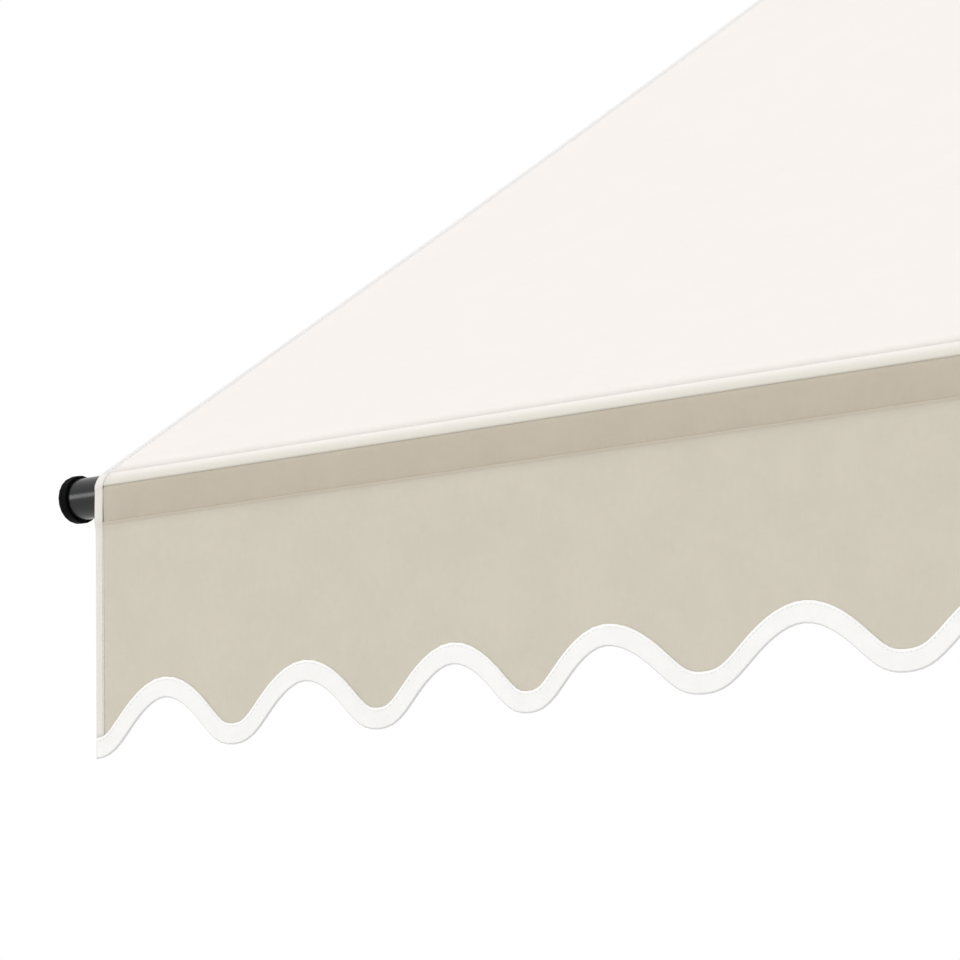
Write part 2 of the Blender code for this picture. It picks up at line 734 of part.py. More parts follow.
def build_worm(turn):
    """Two-start worm on a shaft that ends below in the crank's eye."""
    lead = math.pi * GEAR_MODULE * WORM_STARTS
    rise = lead / WORM_STEPS
    levels = int(WORM_HALF / rise)
    root = WORM_R - DEDENDUM * GEAR_MODULE
    quarter = WORM_STEPS // 4
    bm = bmesh.new()
    rings = []
    for level in range(-levels, levels + 1):
        ring = []
        for step in range(WORM_STEPS):
            angle = 2 * math.pi * step / WORM_STEPS
            radius = worm_radius(level - step + quarter)
            if abs(level) == levels:
                radius = root
            ring.append(bm.verts.new((radius * math.cos(angle), radius * math.sin(angle), level * rise)))
        rings.append(ring)
    for low, high in zip(rings, rings[1:]):
        for step in range(WORM_STEPS):
            after = (step + 1) % WORM_STEPS
            bm.faces.new([low[step], low[after], high[after]])
            bm.faces.new([low[step], high[after], high[step]])
    bm.faces.new(rings[0])
    bm.faces.new(rings[-1])
    worm = solid("worm_shaft", bm, "zinc", turn)
    neck = -WORM_DROP
    spindle = turned(
        [
            (0, WORM_HALF + SPINDLE_ABOVE_WORM),
            (WORM_SHAFT_R, WORM_HALF + SPINDLE_ABOVE_WORM),
            (WORM_SHAFT_R, neck),
            (WORM_SHAFT_R + EYE_COLLAR, neck - EYE_COLLAR),
            (WORM_SHAFT_R + EYE_COLLAR, neck - EYE_COLLAR_H),
            (0, neck - EYE_COLLAR_H),
        ]
    )
    fuse(worm, solid("worm_spindle", spindle, "zinc", turn))
    loop = bmesh.new()
    rings = []
    for step in range(EYE_SEG):
        around = 2 * math.pi * step / EYE_SEG
        ring = []
        for side in range(EYE_WIRE_SEG):
            bend = 2 * math.pi * side / EYE_WIRE_SEG
            reach = EYE_RING_R + EYE_WIRE_R * math.cos(bend)
            off = EYE_WIRE_R * math.sin(bend)
            ring.append(loop.verts.new((reach * math.cos(around), off, reach * math.sin(around))))
        rings.append(ring)
    for index, ring in enumerate(rings):
        following = rings[(index + 1) % EYE_SEG]
        for side in range(EYE_WIRE_SEG):
            after = (side + 1) % EYE_WIRE_SEG
            loop.faces.new([ring[side], ring[after], following[after], following[side]])
    ring_z = neck - EYE_COLLAR_H - EYE_RING_R - EYE_WIRE_R + SINK
    fuse(worm, solid("crank_eye", loop, "zinc", turn, (0, 0, ring_z)))


def build_gearbox(slope):
    """Two die-cast shells that meet on the wheel's middle plane."""
    barrel = WORM_R + ADDENDUM * GEAR_MODULE + GAP * 2
    wheel_room = WHEEL_R + ADDENDUM * GEAR_MODULE + GAP * 2
    worm_y = -(WHEEL_R + WORM_R)
    outer_barrel = barrel + GEAR_WALL
    low_x = GEAR_X - GEAR_OFFSET_X + GAP
    high_x = GEAR_X + outer_barrel
    reach = WORM_HALF + GEAR_BEYOND_WORM
    upright = frame("gearbox", slope, (0, 0, 0), (-SLOPE, 0, 0))
    outline = belt(
        [
            (0, 0, wheel_room + GEAR_WALL),
            (worm_y - outer_barrel + CORNER_R, reach - CORNER_R, CORNER_R),
            (worm_y - outer_barrel + CORNER_R, -reach + CORNER_R, CORNER_R),
            (worm_y + outer_barrel - CORNER_R, reach - CORNER_R, CORNER_R),
            (worm_y + outer_barrel - CORNER_R, -reach + CORNER_R, CORNER_R),
        ]
    )
    wheel_space = rod(wheel_room, GEAR_X - GEAR_INNER_HALF, GEAR_X + GEAR_INNER_HALF, FINE_SEG)
    wheel_space = solid("wheel_space", wheel_space, "zinc", upright, (0, 0, 0), ALONG_X)
    worm_place = (GEAR_X, worm_y, 0)
    worm_space = rod(barrel, -WORM_HALF - CHAMFER, WORM_HALF + CHAMFER)
    worm_space = solid("worm_space", worm_space, "zinc", upright, worm_place)
    spindle_hole = rod(WORM_SHAFT_R + GAP, -WORM_DROP, WORM_HALF + SPINDLE_ABOVE_WORM + CHAMFER)
    spindle_hole = solid("spindle_hole", spindle_hole, "zinc", upright, worm_place)
    journal_hole = rod(JOURNAL_R + GAP, low_x - OVERRUN, GEAR_X)
    journal_hole = solid("housing_journal", journal_hole, "zinc", upright, (0, 0, 0), ALONG_X)
    for name, start, end in (
        ("gearbox_housing", low_x, GEAR_X - GAP / 2),
        ("gearbox_cover", GEAR_X + GAP / 2, high_x),
    ):
        shell = solid(name, lay_across(extruded(outline, start, end)), "black_plastic", upright)
        cut(shell, wheel_space)
        cut(shell, worm_space)
        cut(shell, spindle_hole)
        if name == "gearbox_housing":
            cut(shell, journal_hole)
    turn = frame("worm_turn", upright, worm_place)
    build_worm(turn)


# Folding arms


def lug(pin, root, half_width, low, high):
    """A flat ear from the pin's boss back into the flange of its casting."""
    circles = [(*pin, EYE_R)]
    for side in (half_width, -half_width):
        circles.append((root[0], root[1] + side, LUG_CORNER_R))
    return extruded(belt(circles), low, high)


def build_casting(name, parent, pin, end_x, centre_y, outwards, fork):
    """Cast end of an arm: plug in the profile, flange, then an eye or a fork at the pin."""
    flange_far = end_x + outwards * FLANGE_T
    plug_far = end_x - outwards * PLUG_L
    width = ARM_W - 2 * ARM_WALL - 2 * GAP
    height = ARM_H - 2 * ARM_WALL - 2 * GAP
    start = min(end_x + outwards * GAP, flange_far)
    stop = max(end_x + outwards * GAP, flange_far)
    flange = lay_across(extruded(rounded_rectangle(ARM_W, ARM_H, ARM_ROUNDING), start, stop), shift=centre_y)
    casting = solid(name, flange, "anthracite", parent)
    inside_flange = end_x + outwards * FLANGE_T / 2
    section = rounded_rectangle(width, height, ARM_ROUNDING - ARM_WALL)
    plug = extruded(section, min(plug_far, inside_flange), max(plug_far, inside_flange))
    fuse(casting, solid(f"{name}_plug", lay_across(plug, shift=centre_y), "anthracite", parent))
    levels = [(-EYE_HALF, EYE_HALF)]
    if fork:
        outer = ARM_H / 2
        levels = [(outer - LUG_T, outer), (-outer, LUG_T - outer)]
    # An ear in line with its arm stays as narrow as its boss, so that it folds clear of the bracket
    in_line = abs(pin[1] - centre_y) < GAP
    half_width = (EYE_R if in_line else ARM_W / 2 - EAR_INSET) - LUG_CORNER_R
    for number, (low, high) in enumerate(levels):
        ear = lug(pin, (flange_far, centre_y), half_width, low, high)
        fuse(casting, solid(f"{name}_ear_{number}", ear, "anthracite", parent))
    hole = rod(PIN_R + GAP, -ARM_H, ARM_H)
    cut(casting, solid(f"{name}_bore", hole, "anthracite", parent, (*pin, 0)))
    return casting


def build_profile(name, parent, start, stop, centre_y):
    """Extruded hollow arm."""
    outer = rounded_rectangle(ARM_W, ARM_H, ARM_ROUNDING)
    inner = rounded_rectangle(ARM_W - 2 * ARM_WALL, ARM_H - 2 * ARM_WALL, ARM_ROUNDING - ARM_WALL)
    wall = lay_across(ring_extruded(outer, inner, start, stop), shift=centre_y)
    return solid(name, wall, "anthracite", parent)


def build_pin(name, parent, place, half):
    """Headed pivot pin, riveted flush below."""
    pin = turned(
        [
            (0, -half - PIN_HEAD_H * 0.6),
            (PIN_HEAD_R * 0.85, -half - PIN_HEAD_H * 0.6),
            (PIN_HEAD_R * 0.85, -half - GAP),
            (PIN_R, -half - GAP),
            (PIN_R, half + GAP),
            (PIN_HEAD_R, half + GAP),
            (PIN_HEAD_R - CHAMFER, half + PIN_HEAD_H),
            (0, half + PIN_HEAD_H),
        ],
        PIN_SEG,
    )
    return solid(name, pin, "zinc", parent, place)


def build_shoulder_bracket(side, slope, pivot_place):
    """Cast bracket on the front face of the torsion bar, its fork round the arm's eye."""
    x, y, n = pivot_place
    face_y = -TORSION_OUT - TORSION_SIZE / 2 - GAP
    base_low = TORSION_N - TORSION_SIZE / 2 + CHAMFER
    base = box(
        (x - SHOULDER_BASE_W / 2, face_y - SHOULDER_BASE_T, base_low),
        (x + SHOULDER_BASE_W / 2, face_y, base_low + SHOULDER_BASE_H),
    )
    bracket = solid(f"{side}_shoulder_bracket", base, "anthracite", slope)
    outer = EYE_HALF + GAP + LUG_T
    reach = EYE_R + FORK_BEYOND_EYE
    root_y = face_y - SHOULDER_BASE_T
    head = box((x - reach, y + EYE_R + SHOULDER_BEHIND_EYE, n - outer), (x + reach, root_y + SINK / 2, n + outer))
    fuse(bracket, solid(f"{side}_shoulder_head", head, "anthracite", slope))
    for number, low in enumerate((n + EYE_HALF + GAP, n - outer)):
        circles = [(x, y, reach)]
        for side_x in (x + reach - FORK_CORNER_R, x - reach + FORK_CORNER_R):
            circles.append((side_x, root_y - CHAMFER, FORK_CORNER_R))
        ear = extruded(belt(circles), low, low + LUG_T)
        fuse(bracket, solid(f"{side}_shoulder_ear_{number}", ear, "anthracite", slope))
    hole = rod(PIN_R + GAP, -2 * outer, 2 * outer)
    cut(bracket, solid(f"{side}_shoulder_bore", hole, "anthracite", slope, pivot_place))
    build_pin(f"{side}_shoulder_pin", slope, pivot_place, outer)


def build_arm(side, hand, slope):
    """One folding arm from the shoulder to its wrist eye; returns the wrist's frame."""
    shoulder_place = (-hand * ARM_X, -SHOULDER_OUT, ARM_PLANE_N)
    build_shoulder_bracket(side, slope, shoulder_place)
    quarter = math.pi / 2
    elbow_y = -hand * ELBOW_OFFSET
    shoulder = frame(f"{side}_shoulder", slope, shoulder_place, (0, 0, hand * ARM_REST - quarter))
    rear_start = FLANGE_GAP + FLANGE_T
    rear_stop = ARM_LENGTH - FLANGE_GAP - FLANGE_T
    build_profile(f"{side}_rear_arm", shoulder, rear_start, rear_stop, 0)
    build_casting(f"{side}_shoulder_eye", shoulder, (0, 0), rear_start, 0, -1, False)
    build_casting(f"{side}_elbow_fork", shoulder, (ARM_LENGTH, elbow_y), rear_stop, 0, 1, True)
    build_pin(f"{side}_elbow_pin", shoulder, (ARM_LENGTH, elbow_y, 0), ARM_H / 2)

    elbow = frame(f"{side}_elbow", shoulder, (ARM_LENGTH, elbow_y, 0), (0, 0, -2 * hand * ARM_REST))
    centre_y = hand * ELBOW_OFFSET
    build_profile(f"{side}_front_arm", elbow, rear_start, rear_stop, centre_y)
    build_casting(f"{side}_elbow_eye", elbow, (0, 0), rear_start, centre_y, -1, False)
    build_casting(f"{side}_wrist_eye", elbow, (ARM_LENGTH, centre_y), rear_stop, centre_y, 1, False)
    return frame(f"{side}_wrist", elbow, (ARM_LENGTH, centre_y, 0), (0, 0, quarter + hand * ARM_REST))


# Front bar with its cloth


def build_wrist_bracket(side, x, bar):
    """Saddle behind the bar, over the cloth, with the fork for the arm's wrist eye."""
    drop = ARM_PLANE_N - BAR_N
    tilted = frame(f"{side}_wrist_saddle", bar, (x, 0, 0), (SLOPE, 0, 0))
    half = WRIST_W / 2
    outer = EYE_HALF + GAP + LUG_T
    wrap_r = POCKET_R + GAP + WRIST_WRAP
    reach = EYE_R + FORK_BEYOND_EYE
    slot_y = WRIST_SET_BACK - EYE_R - WRIST_BEHIND_EYE
    # Side view: Y up the slope to the right, Z square to it, pulled across X
    outline = belt(
        [
            (0, 0, wrap_r),
            (slot_y + CHAMFER, drop + outer - FORK_CORNER_R, FORK_CORNER_R),
            (slot_y + CHAMFER, drop - outer + FORK_CORNER_R, FORK_CORNER_R),
            (slot_y - WRIST_WEB, drop - outer + FORK_CORNER_R, FORK_CORNER_R),
        ]
    )
    body = lay_across(extruded(outline, -half, half))
    bracket = solid(f"{side}_wrist_bracket", body, "anthracite", tilted)
    for number, low in enumerate((drop + EYE_HALF + GAP, drop - outer)):
        circles = [(0, WRIST_SET_BACK, reach)]
        for side_x in (reach - FORK_CORNER_R, FORK_CORNER_R - reach):
            circles.append((side_x, WRIST_SET_BACK - reach, FORK_CORNER_R))
        ear = extruded(belt(circles), low, low + LUG_T)
        fuse(bracket, solid(f"{side}_wrist_ear_{number}", ear, "anthracite", tilted))
    wide = half + OVERRUN
    slot = box((-wide, slot_y, drop - EYE_HALF - GAP), (wide, slot_y + HELPER_REACH, drop + EYE_HALF + GAP))
    cut(bracket, solid(f"{side}_wrist_slot", slot, "anthracite", tilted))
    outline = tangent_loop((0, 0, POCKET_R + GAP), (SEAM_Y, SEAM_Z, SEAM_R + GAP))
    seat = lay_across(extruded(outline, -wide, wide))
    cut(bracket, solid(f"{side}_saddle_seat", seat, "anthracite", bar, (x, 0, 0)))
    front = box((-wide, -HELPER_REACH, -HELPER_REACH), (wide, 0, HELPER_REACH))
    cut(bracket, solid(f"{side}_saddle_front", front, "anthracite", tilted))
    crown = box((-wide, -HELPER_REACH, SADDLE_TOP), (wide, HELPER_REACH, HELPER_REACH))
    cut(bracket, solid(f"{side}_saddle_crown", crown, "anthracite", tilted))
    hole = rod(PIN_R + GAP, -2 * outer, 2 * outer)
    cut(bracket, solid(f"{side}_wrist_bore", hole, "anthracite", tilted, (0, WRIST_SET_BACK, drop)))
    build_pin(f"{side}_wrist_pin", tilted, (0, WRIST_SET_BACK, drop), outer)


def build_front_bar(bar):
    """Round tube that stands out of the cloth at both ends, with flanged caps."""
    tube = pipe(BAR_R, BAR_R - BAR_WALL, -BAR_HALF, BAR_HALF, FINE_SEG)
    solid("front_bar", tube, "anthracite", bar, (0, 0, 0), ALONG_X)
    plug_r = BAR_R - BAR_WALL - GAP
    face = BAR_HALF + GAP
    top = BAR_HALF + CAP_T
    inside = BAR_HALF - CAP_PLUG
    profile = [(0, inside), (plug_r - CHAMFER, inside), (plug_r, inside + LEAD_IN), (plug_r, face)]
    profile += [(CAP_R - CAP_EDGE, face), (CAP_R, face + CAP_EDGE)]
    centre = (CAP_R - CAP_ROUNDING, top - CAP_ROUNDING)
    profile += arc(centre, CAP_ROUNDING, 0, 90, 3)
    profile += [(0, top)]
    cap = turned(profile, FINE_SEG)
    right = solid("right_bar_cap", cap, "black_plastic", bar, (0, 0, 0), ALONG_X)
    left = bpy.data.objects.new("left_bar_cap", right.data)
    left.parent = bar
    left.rotation_euler = (0, -math.pi / 2, 0)
    bpy.context.scene.collection.objects.link(left)


def build_pocket(bar):
    """Cloth sleeve round the bar, drawn down to the seam that the valance hangs from."""
    outer = tangent_loop((0, 0, POCKET_R), (SEAM_Y, SEAM_Z, SEAM_R))
    inner = tangent_loop((0, 0, POCKET_R - CLOTH_T), (SEAM_Y, SEAM_Z, SEAM_R - CLOTH_T))
    sleeve = lay_across(ring_extruded(outer, inner, -CLOTH_HALF, CLOTH_HALF))
    solid("bar_pocket", sleeve, "cloth", bar)


def wave_stations():
    """Places along the valance, evenly spread in phase, as (x, share of a full wave)."""
    mid_pitch = (2 * CLOTH_HALF - 2 * END_WAVES * END_PITCH) / MID_WAVES
    total = 2 * END_WAVES + MID_WAVES
    count = int(total * WAVE_SAMPLES)
    stations = []
    for index in range(count + 1):
        phase = index / WAVE_SAMPLES
        first = min(phase, END_WAVES)
        middle = min(max(phase - END_WAVES, 0), MID_WAVES)
        last = max(phase - END_WAVES - MID_WAVES, 0)
        x = first * END_PITCH + middle * mid_pitch + last * END_PITCH - CLOTH_HALF
        stations.append((x, phase))
    return stations


def scallop(phase):
    """Height of the valance's lower edge: a trough at each whole phase."""
    middle = -(VALANCE_PEAK + VALANCE_TROUGH) / 2
    swing = (VALANCE_TROUGH - VALANCE_PEAK) / 2
    return middle - swing * math.cos(2 * math.pi * phase)


def build_valance(bar):
    """Hanging cloth with a wavy edge, and the tape folded over that edge."""
    top = SEAM_Z - SEAM_R - GAP
    stations = wave_stations()

    def lean(z):
        return SEAM_Y + VALANCE_LEAN * (top - z)

    half = CLOTH_T / 2
    bm = bmesh.new()
    rows = []
    for x, phase in stations:
        edge = scallop(phase) + BINDING_T + GAP
        corners = [(x, lean(top) - half, top), (x, lean(top) + half, top)]
        corners += [(x, lean(edge) + half, edge), (x, lean(edge) - half, edge)]
        rows.append([bm.verts.new(corner) for corner in corners])
    sweep(bm, rows)
    solid("valance", bm, "cloth", bar)

    bm = bmesh.new()
    rows = []
    inner = half + GAP
    outer = inner + BINDING_T
    for x, phase in stations:
        low = scallop(phase)
        fold = low + BINDING_T
        high = low + BINDING_H
        corners = [(-outer, low), (outer, low), (outer, high), (inner, high)]
        corners += [(inner, fold), (-inner, fold), (-inner, high), (-outer, high)]
        rows.append([bm.verts.new((x, lean(z) + y, z)) for y, z in corners])
    sweep(bm, rows)
    solid("valance_binding", bm, "binding", bar)


def sweep(bm, rows):
    """Skin a run of sections with as many points each, and close both ends."""
    for row, following in zip(rows, rows[1:]):
        for index in range(len(row)):
            after = (index + 1) % len(row)
            bm.faces.new([row[index], row[after], following[after], following[index]])
    bm.faces.new(list(reversed(rows[0])))
    bm.faces.new(rows[-1])


def build_canopy(slope):
    """Taut cloth from the top of the roller to the top of the front bar."""
    low = ROLL_R + GAP
    sheet = box((-CLOTH_HALF, -BAR_OUT, low), (CLOTH_HALF, 0, low + CLOTH_T))
    solid("canopy", sheet, "cloth", slope)


def main():
    clear_scene()
    head = frame("height_slide")
    slope = frame("slope", head, (0, ROLLER_Y, ROLLER_Z), (SLOPE, 0, 0))
    for side, hand in (("left", 1), ("right", -1)):
        x = -hand * POST_X
        build_foot(side, x)
        build_collar(side, x)
        build_upper_post(side, x, head)
        build_post_clamp(side, x, head, slope)
    build_torsion_bar(slope)
    build_roller_bracket("left", -1, slope, JOURNAL_R + GAP)
    build_roller_bracket("right", 1, slope, JOURNAL_R + GAP)
    spin = frame("roller_spin", slope)
    build_roller(spin)
    build_worm_wheel(spin)
    build_gearbox(slope)
    build_canopy(slope)

    wrist = build_arm("left", 1, slope)
    build_arm("right", -1, slope)
    bar_place = (ARM_X, -WRIST_SET_BACK, BAR_N - ARM_PLANE_N)
    bar = frame("bar_axis", wrist, bar_place, (-SLOPE, 0, 0))
    build_front_bar(bar)
    build_pocket(bar)
    build_valance(bar)
    build_wrist_bracket("left", -ARM_X, bar)
    build_wrist_bracket("right", ARM_X, bar)


main()
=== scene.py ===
"""Looks of the clamp awning: its cloth, seams, fasteners and finishes, with a plain studio round it."""

import json
import math

import bmesh
import bpy
from bpy.props import FloatProperty, FloatVectorProperty, IntProperty, PointerProperty
from bpy.types import Operator, Panel, PropertyGroup
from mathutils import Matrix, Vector


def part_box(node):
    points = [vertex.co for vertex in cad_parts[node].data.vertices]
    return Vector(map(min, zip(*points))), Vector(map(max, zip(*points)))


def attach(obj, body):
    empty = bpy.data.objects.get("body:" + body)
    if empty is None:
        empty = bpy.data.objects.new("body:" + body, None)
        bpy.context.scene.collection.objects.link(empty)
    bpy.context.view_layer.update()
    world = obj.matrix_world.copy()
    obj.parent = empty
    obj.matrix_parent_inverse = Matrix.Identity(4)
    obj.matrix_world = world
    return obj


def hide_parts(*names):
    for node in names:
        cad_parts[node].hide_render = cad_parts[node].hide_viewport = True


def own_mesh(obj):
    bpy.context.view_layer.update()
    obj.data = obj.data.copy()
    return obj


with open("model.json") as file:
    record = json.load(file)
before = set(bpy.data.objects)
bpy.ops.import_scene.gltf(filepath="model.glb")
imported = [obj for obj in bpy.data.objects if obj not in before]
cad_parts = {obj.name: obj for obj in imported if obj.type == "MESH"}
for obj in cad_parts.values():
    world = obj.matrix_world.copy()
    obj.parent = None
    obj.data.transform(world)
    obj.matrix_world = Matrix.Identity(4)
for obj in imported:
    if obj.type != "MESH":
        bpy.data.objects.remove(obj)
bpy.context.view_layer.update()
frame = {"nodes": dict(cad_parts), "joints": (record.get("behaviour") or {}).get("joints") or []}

bl_info = {
    "name": "Clamp Awning Looks",
    "version": (1, 0, 0),
    "blender": (4, 5, 0),
    "location": "3D View > Sidebar > Awning",
    "description": "Dresses the packed clamp awning with cloth, seams, fasteners and finishes",
    "category": "Object",
}

SIDES = (("left", -1), ("right", 1))

# Places taken from the frame
JOINTS = {joint["name"]: joint for joint in frame["joints"]}
BAR = sum(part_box("front_bar"), Vector()) / 2
ROLLER = sum(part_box("roller_tube"), Vector()) / 2

# Slope frame: X along the bars, UP_SLOPE along the cloth, OFF_CLOTH square to it
SLOPE = math.radians(33.5)
ACROSS = Vector((1, 0, 0))
UP_SLOPE = Vector((0, math.cos(SLOPE), math.sin(SLOPE)))
OFF_CLOTH = Vector((0, -math.sin(SLOPE), math.cos(SLOPE)))
REACH = (ROLLER - BAR).dot(UP_SLOPE)

# Arms, as the part has them: from pivot to pivot, axis beside the pivots, angle at rest, half the height
ARM_LENGTH, ARM_OFFSET, ARM_REST, ARM_HALF = 0.75, 0.0222, math.radians(16), 0.013
RIVET_REACHES = (0.027, 0.042, 0.708, 0.723)

# Cloth: the photograph has it narrower than the solids, so each side is trimmed
CLOTH_TRIM = 0.005
CLOTH_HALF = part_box("canopy")[1].x - CLOTH_TRIM
CLOTH_T, TAPE_T, BINDING_T = 0.0008, 0.0003, 0.0004
# Width over which the canopy's sides are painted lighter as a highlight
EDGE_HIGHLIGHT_FADE = 0.016
TAPE_LIFT = 0.0001
PAST_EDGE = 0.0004
THREAD_PITCH, RIB_PITCH = 0.0006, 0.0011

# Roll: how far off its axis the canopy leaves it, and the radii and thickness of its outer turns
ROLL_TOP = 0.0275
WOUND_INNER, WOUND_OUTER, WOUND_T = 0.0256, 0.0268, 0.0004

# Round the bar: the tube, the sleeve's outside and flat width, and the canopy's end over it
TUBE_WALL, TUBE_RIM = 0.0015, 0.0005
POCKET_R, SLEEVE_FLAT = 0.0171, 0.118
LAP_R, LAP_T = 0.0174, 0.0005
LAP_START, LAP_END = math.pi / 2 + SLOPE, math.radians(165)

# The sleeve's seam from the bar's axis, and the valance's top, which lies over it and then hangs free
SEAM_Y, SEAM_Z, SEAM_R = -0.0155, -0.0236, 0.0011
HANG_TOP = SEAM_Z - SEAM_R
VALANCE_TOP, VALANCE_FREE, OVER_SEAM = HANG_TOP + 0.001, HANG_TOP - 0.0075, 0.0013
HEM_DROP, TOP_MARGIN = -0.003, 0.004

# Waves: how many at each end and in the middle, the end ones' width, and how low their tops and feet lie
END_WAVES, MID_WAVES, END_PITCH = 3.5, 5, 0.146
PEAK, TROUGH = 0.1625, 0.2034

# How much the feet are rounded, and how far the valance leans out as it hangs
ROUNDED, LEAN = 0.055, 0.024

# Screws: sideways or up from the middle of their piece, and off the roller's axis in the slope frame
CLAMP_SCREW = 0.013
BRACKET_SCREWS, BRACKET_OFF = (-0.011, 0.021), -0.056
SHOULDER_SCREW, SHOULDER_FACE, SHOULDER_OFFS = 0.021, -0.0243, (-0.065, -0.037)
COVER_SCREWS = ((0.0125, 0.0125), (0.0125, -0.0125), (-0.030, 0.0165), (-0.030, -0.0165))
COUNTERSUNK = 0.0019
COLLAR_SCREW_DOWN, FOOT_SCREW_DOWN, FOOT_SOCKET_R = 0.018, 0.014, 0.0243
SCREW_R, RIVET_SIZE = 0.0036, (0.0032, 0.0032, 0.0026)

# Camera fitted to the photograph
CAMERA_PLACE = (2.1002, -4.3056, 1.0879)
CAMERA_TURN = (math.radians(99.139), 0.0, math.radians(42.382))
CAMERA_LENS = 210.0
SENSOR = 36.0


def colour_setting(name, description, default):
    return FloatVectorProperty(name=name, description=description, subtype="COLOR", default=default)


def length_setting(name, description, default):
    return FloatProperty(
        name=name, description=description, subtype="DISTANCE", unit="LENGTH", default=default
    )


def strength_setting(name, description, default):
    return FloatProperty(name=name, description=description, default=default, min=0.0)


class AwningClothSettings(PropertyGroup):
    """Sizes and colours of the cloth and its tapes."""

    # The canopy and the valance are one cloth: the valance's colour is that cloth painted darker as shade on
    # its hanging face
    canopy_colour: colour_setting("Canopy", "Colour of the sloping cloth", (0.764, 0.722, 0.689))
    valance_shade_colour: colour_setting("Valance", "Colour of the hanging cloth", (0.572, 0.530, 0.440))
    # Painted shade: the band round the bar is the same cloth, darker where the bar behind it keeps light from
    # shining through
    sleeve_shade_colour: colour_setting(
        "Sleeve", "Colour of the doubled cloth round the bar", (0.481, 0.430, 0.348)
    )
    # Painted highlight: the canopy's sides and their tapes are painted lighter towards the edge
    painted_edge_colour: colour_setting(
        "Side edge", "Colour that the canopy fades to at its sides", (0.815, 0.805, 0.80)
    )
    # Painted shade: the canopy's end darkens to this as it turns down over the bar
    lap_shade_colour: colour_setting(
        "Folded edge", "Colour that the canopy's end fades to over the bar", (0.623, 0.598, 0.532)
    )
    hem_colour: colour_setting("Side hem", "Colour of the tape along the side edges", (0.697, 0.6625, 0.624))
    tape_colour: colour_setting("Binding", "Colour of the tape along the waves", (0.827, 0.820, 0.805))
    tape_width: length_setting("Binding width", "Width that shows on each face of the valance", 0.0155)
    hem_width: length_setting("Hem width", "Width of the side hem on each face", 0.0084)
    sag: length_setting("Sag", "How far the canopy sinks half way down", 0.010)
    ripple: length_setting("Ripple", "How far the valance's foot waves in and out", 0.0011)
    stitch_pitch: length_setting("Stitch pitch", "From one stitch to the next", 0.0042)


class AwningFinishSettings(PropertyGroup):
    """Colours of the frame."""

    coat_colour: colour_setting("Powder coat", "Colour of the coated metal", (0.008, 0.0084, 0.009))
    coat_roughness: FloatProperty(
        name="Coat roughness", description="Roughness of the coated metal",
        subtype="FACTOR", default=0.2, min=0.0, max=1.0,
    )
    plastic_colour: colour_setting("Plastic", "Colour of the moulded pieces", (0.002, 0.002, 0.002))
    turn_seed: IntProperty(name="Screw seed", description="Seed for how far each screw is turned", default=7)


class AwningStageSettings(PropertyGroup):
    """Floor and light."""

    floor_colour: colour_setting("Floor", "Colour of the floor", (0.88, 0.88, 0.875))
    key_strength: strength_setting("Key", "Strength of the high soft light", 1.89)
    front_strength: strength_setting("Front", "Strength of the light from the front", 0.415)
    sky_strength: strength_setting("Sky", "Strength of the light from all round", 0.62)


class Socket:
    """A node's socket that takes part in formulas."""

    def __init__(self, tree, socket):
        self.tree = tree
        self.socket = socket

    def __add__(self, other):
        return self.tree.maths("ADD", self, other)

    __radd__ = __add__

    def __mul__(self, other):
        return self.tree.maths("MULTIPLY", self, other)

    def __abs__(self):
        return self.tree.maths("ABSOLUTE", self)

    def sine(self):
        return self.tree.maths("SINE", self)

    def between(self, low, high):
        """0 at low, 1 at high, and a smooth step in between."""
        sockets = {"Value": self, "From Min": low, "From Max": high}
        return self.tree.node("ShaderNodeMapRange", {"interpolation_type": "SMOOTHSTEP"}, sockets)[0]


class Tree:
    """A node tree that is filled by one method."""

    def __init__(self, tree):
        self.tree = tree

    def node(self, kind, settings=None, sockets=None):
        """Add a node: its settings first, then the values or links of its sockets. Gives its outputs."""
        made = self.tree.nodes.new(kind)
        for name, value in (settings or {}).items():
            setattr(made, name, value)
        for key, value in (sockets or {}).items():
            self.feed(made.inputs[key], value)
        return [Socket(self, output) for output in made.outputs if output.enabled]

    def maths(self, operation, *values):
        return self.node("ShaderNodeMath", {"operation": operation}, dict(enumerate(values)))[0]

    def feed(self, target, value):
        if isinstance(value, Socket):
            self.tree.links.new(value.socket, target)
        else:
            target.default_value = value


class Look(Tree):
    """A material and the nodes that feed it."""

    def __init__(self, name):
        self.material = bpy.data.materials.new(name)
        self.material.use_nodes = True
        super().__init__(self.material.node_tree)
        self.shader = self.tree.nodes["Principled BSDF"]

    def set(self, **sockets):
        """Set the shader's sockets; an underscore stands for a space."""
        for name, value in sockets.items():
            self.feed(self.shader.inputs[name.replace("_", " ")], value)
        return self.material

    def place(self):
        """Where a point is on its piece."""
        return self.node("ShaderNodeTexCoord")[3]

    def weave(self):
        """Where a point is on its cloth, in metres along and across the threads."""
        return self.node("ShaderNodeAttribute", {"attribute_name": "weave"})[1]

    def stretched(self, vector, scale):
        return self.node("ShaderNodeMapping", None, {"Vector": vector, "Scale": scale})[0]

    def noise(self, vector, scale, detail=2.0, roughness=0.5):
        sockets = {"Vector": vector, "Scale": scale, "Detail": detail, "Roughness": roughness}
        return self.node("ShaderNodeTexNoise", None, sockets)[0]

    def parts(self, vector):
        return self.node("ShaderNodeSeparateXYZ", None, {"Vector": vector})

    def mix(self, factor, low, high):
        """A colour between two."""
        sockets = {0: factor, 6: colour4(low), 7: colour4(high)}
        return self.node("ShaderNodeMix", {"data_type": "RGBA"}, sockets)[0]

    def bump(self, height, strength, distance):
        sockets = {"Height": height, "Strength": strength, "Distance": distance}
        return self.node("ShaderNodeBump", None, sockets)[0]


def colour4(colour):
    return colour if isinstance(colour, Socket) else (*tuple(colour)[:3], 1.0)


def shade(colour, share):
    return tuple(min(1.0, channel * share) for channel in colour)


# Finishes


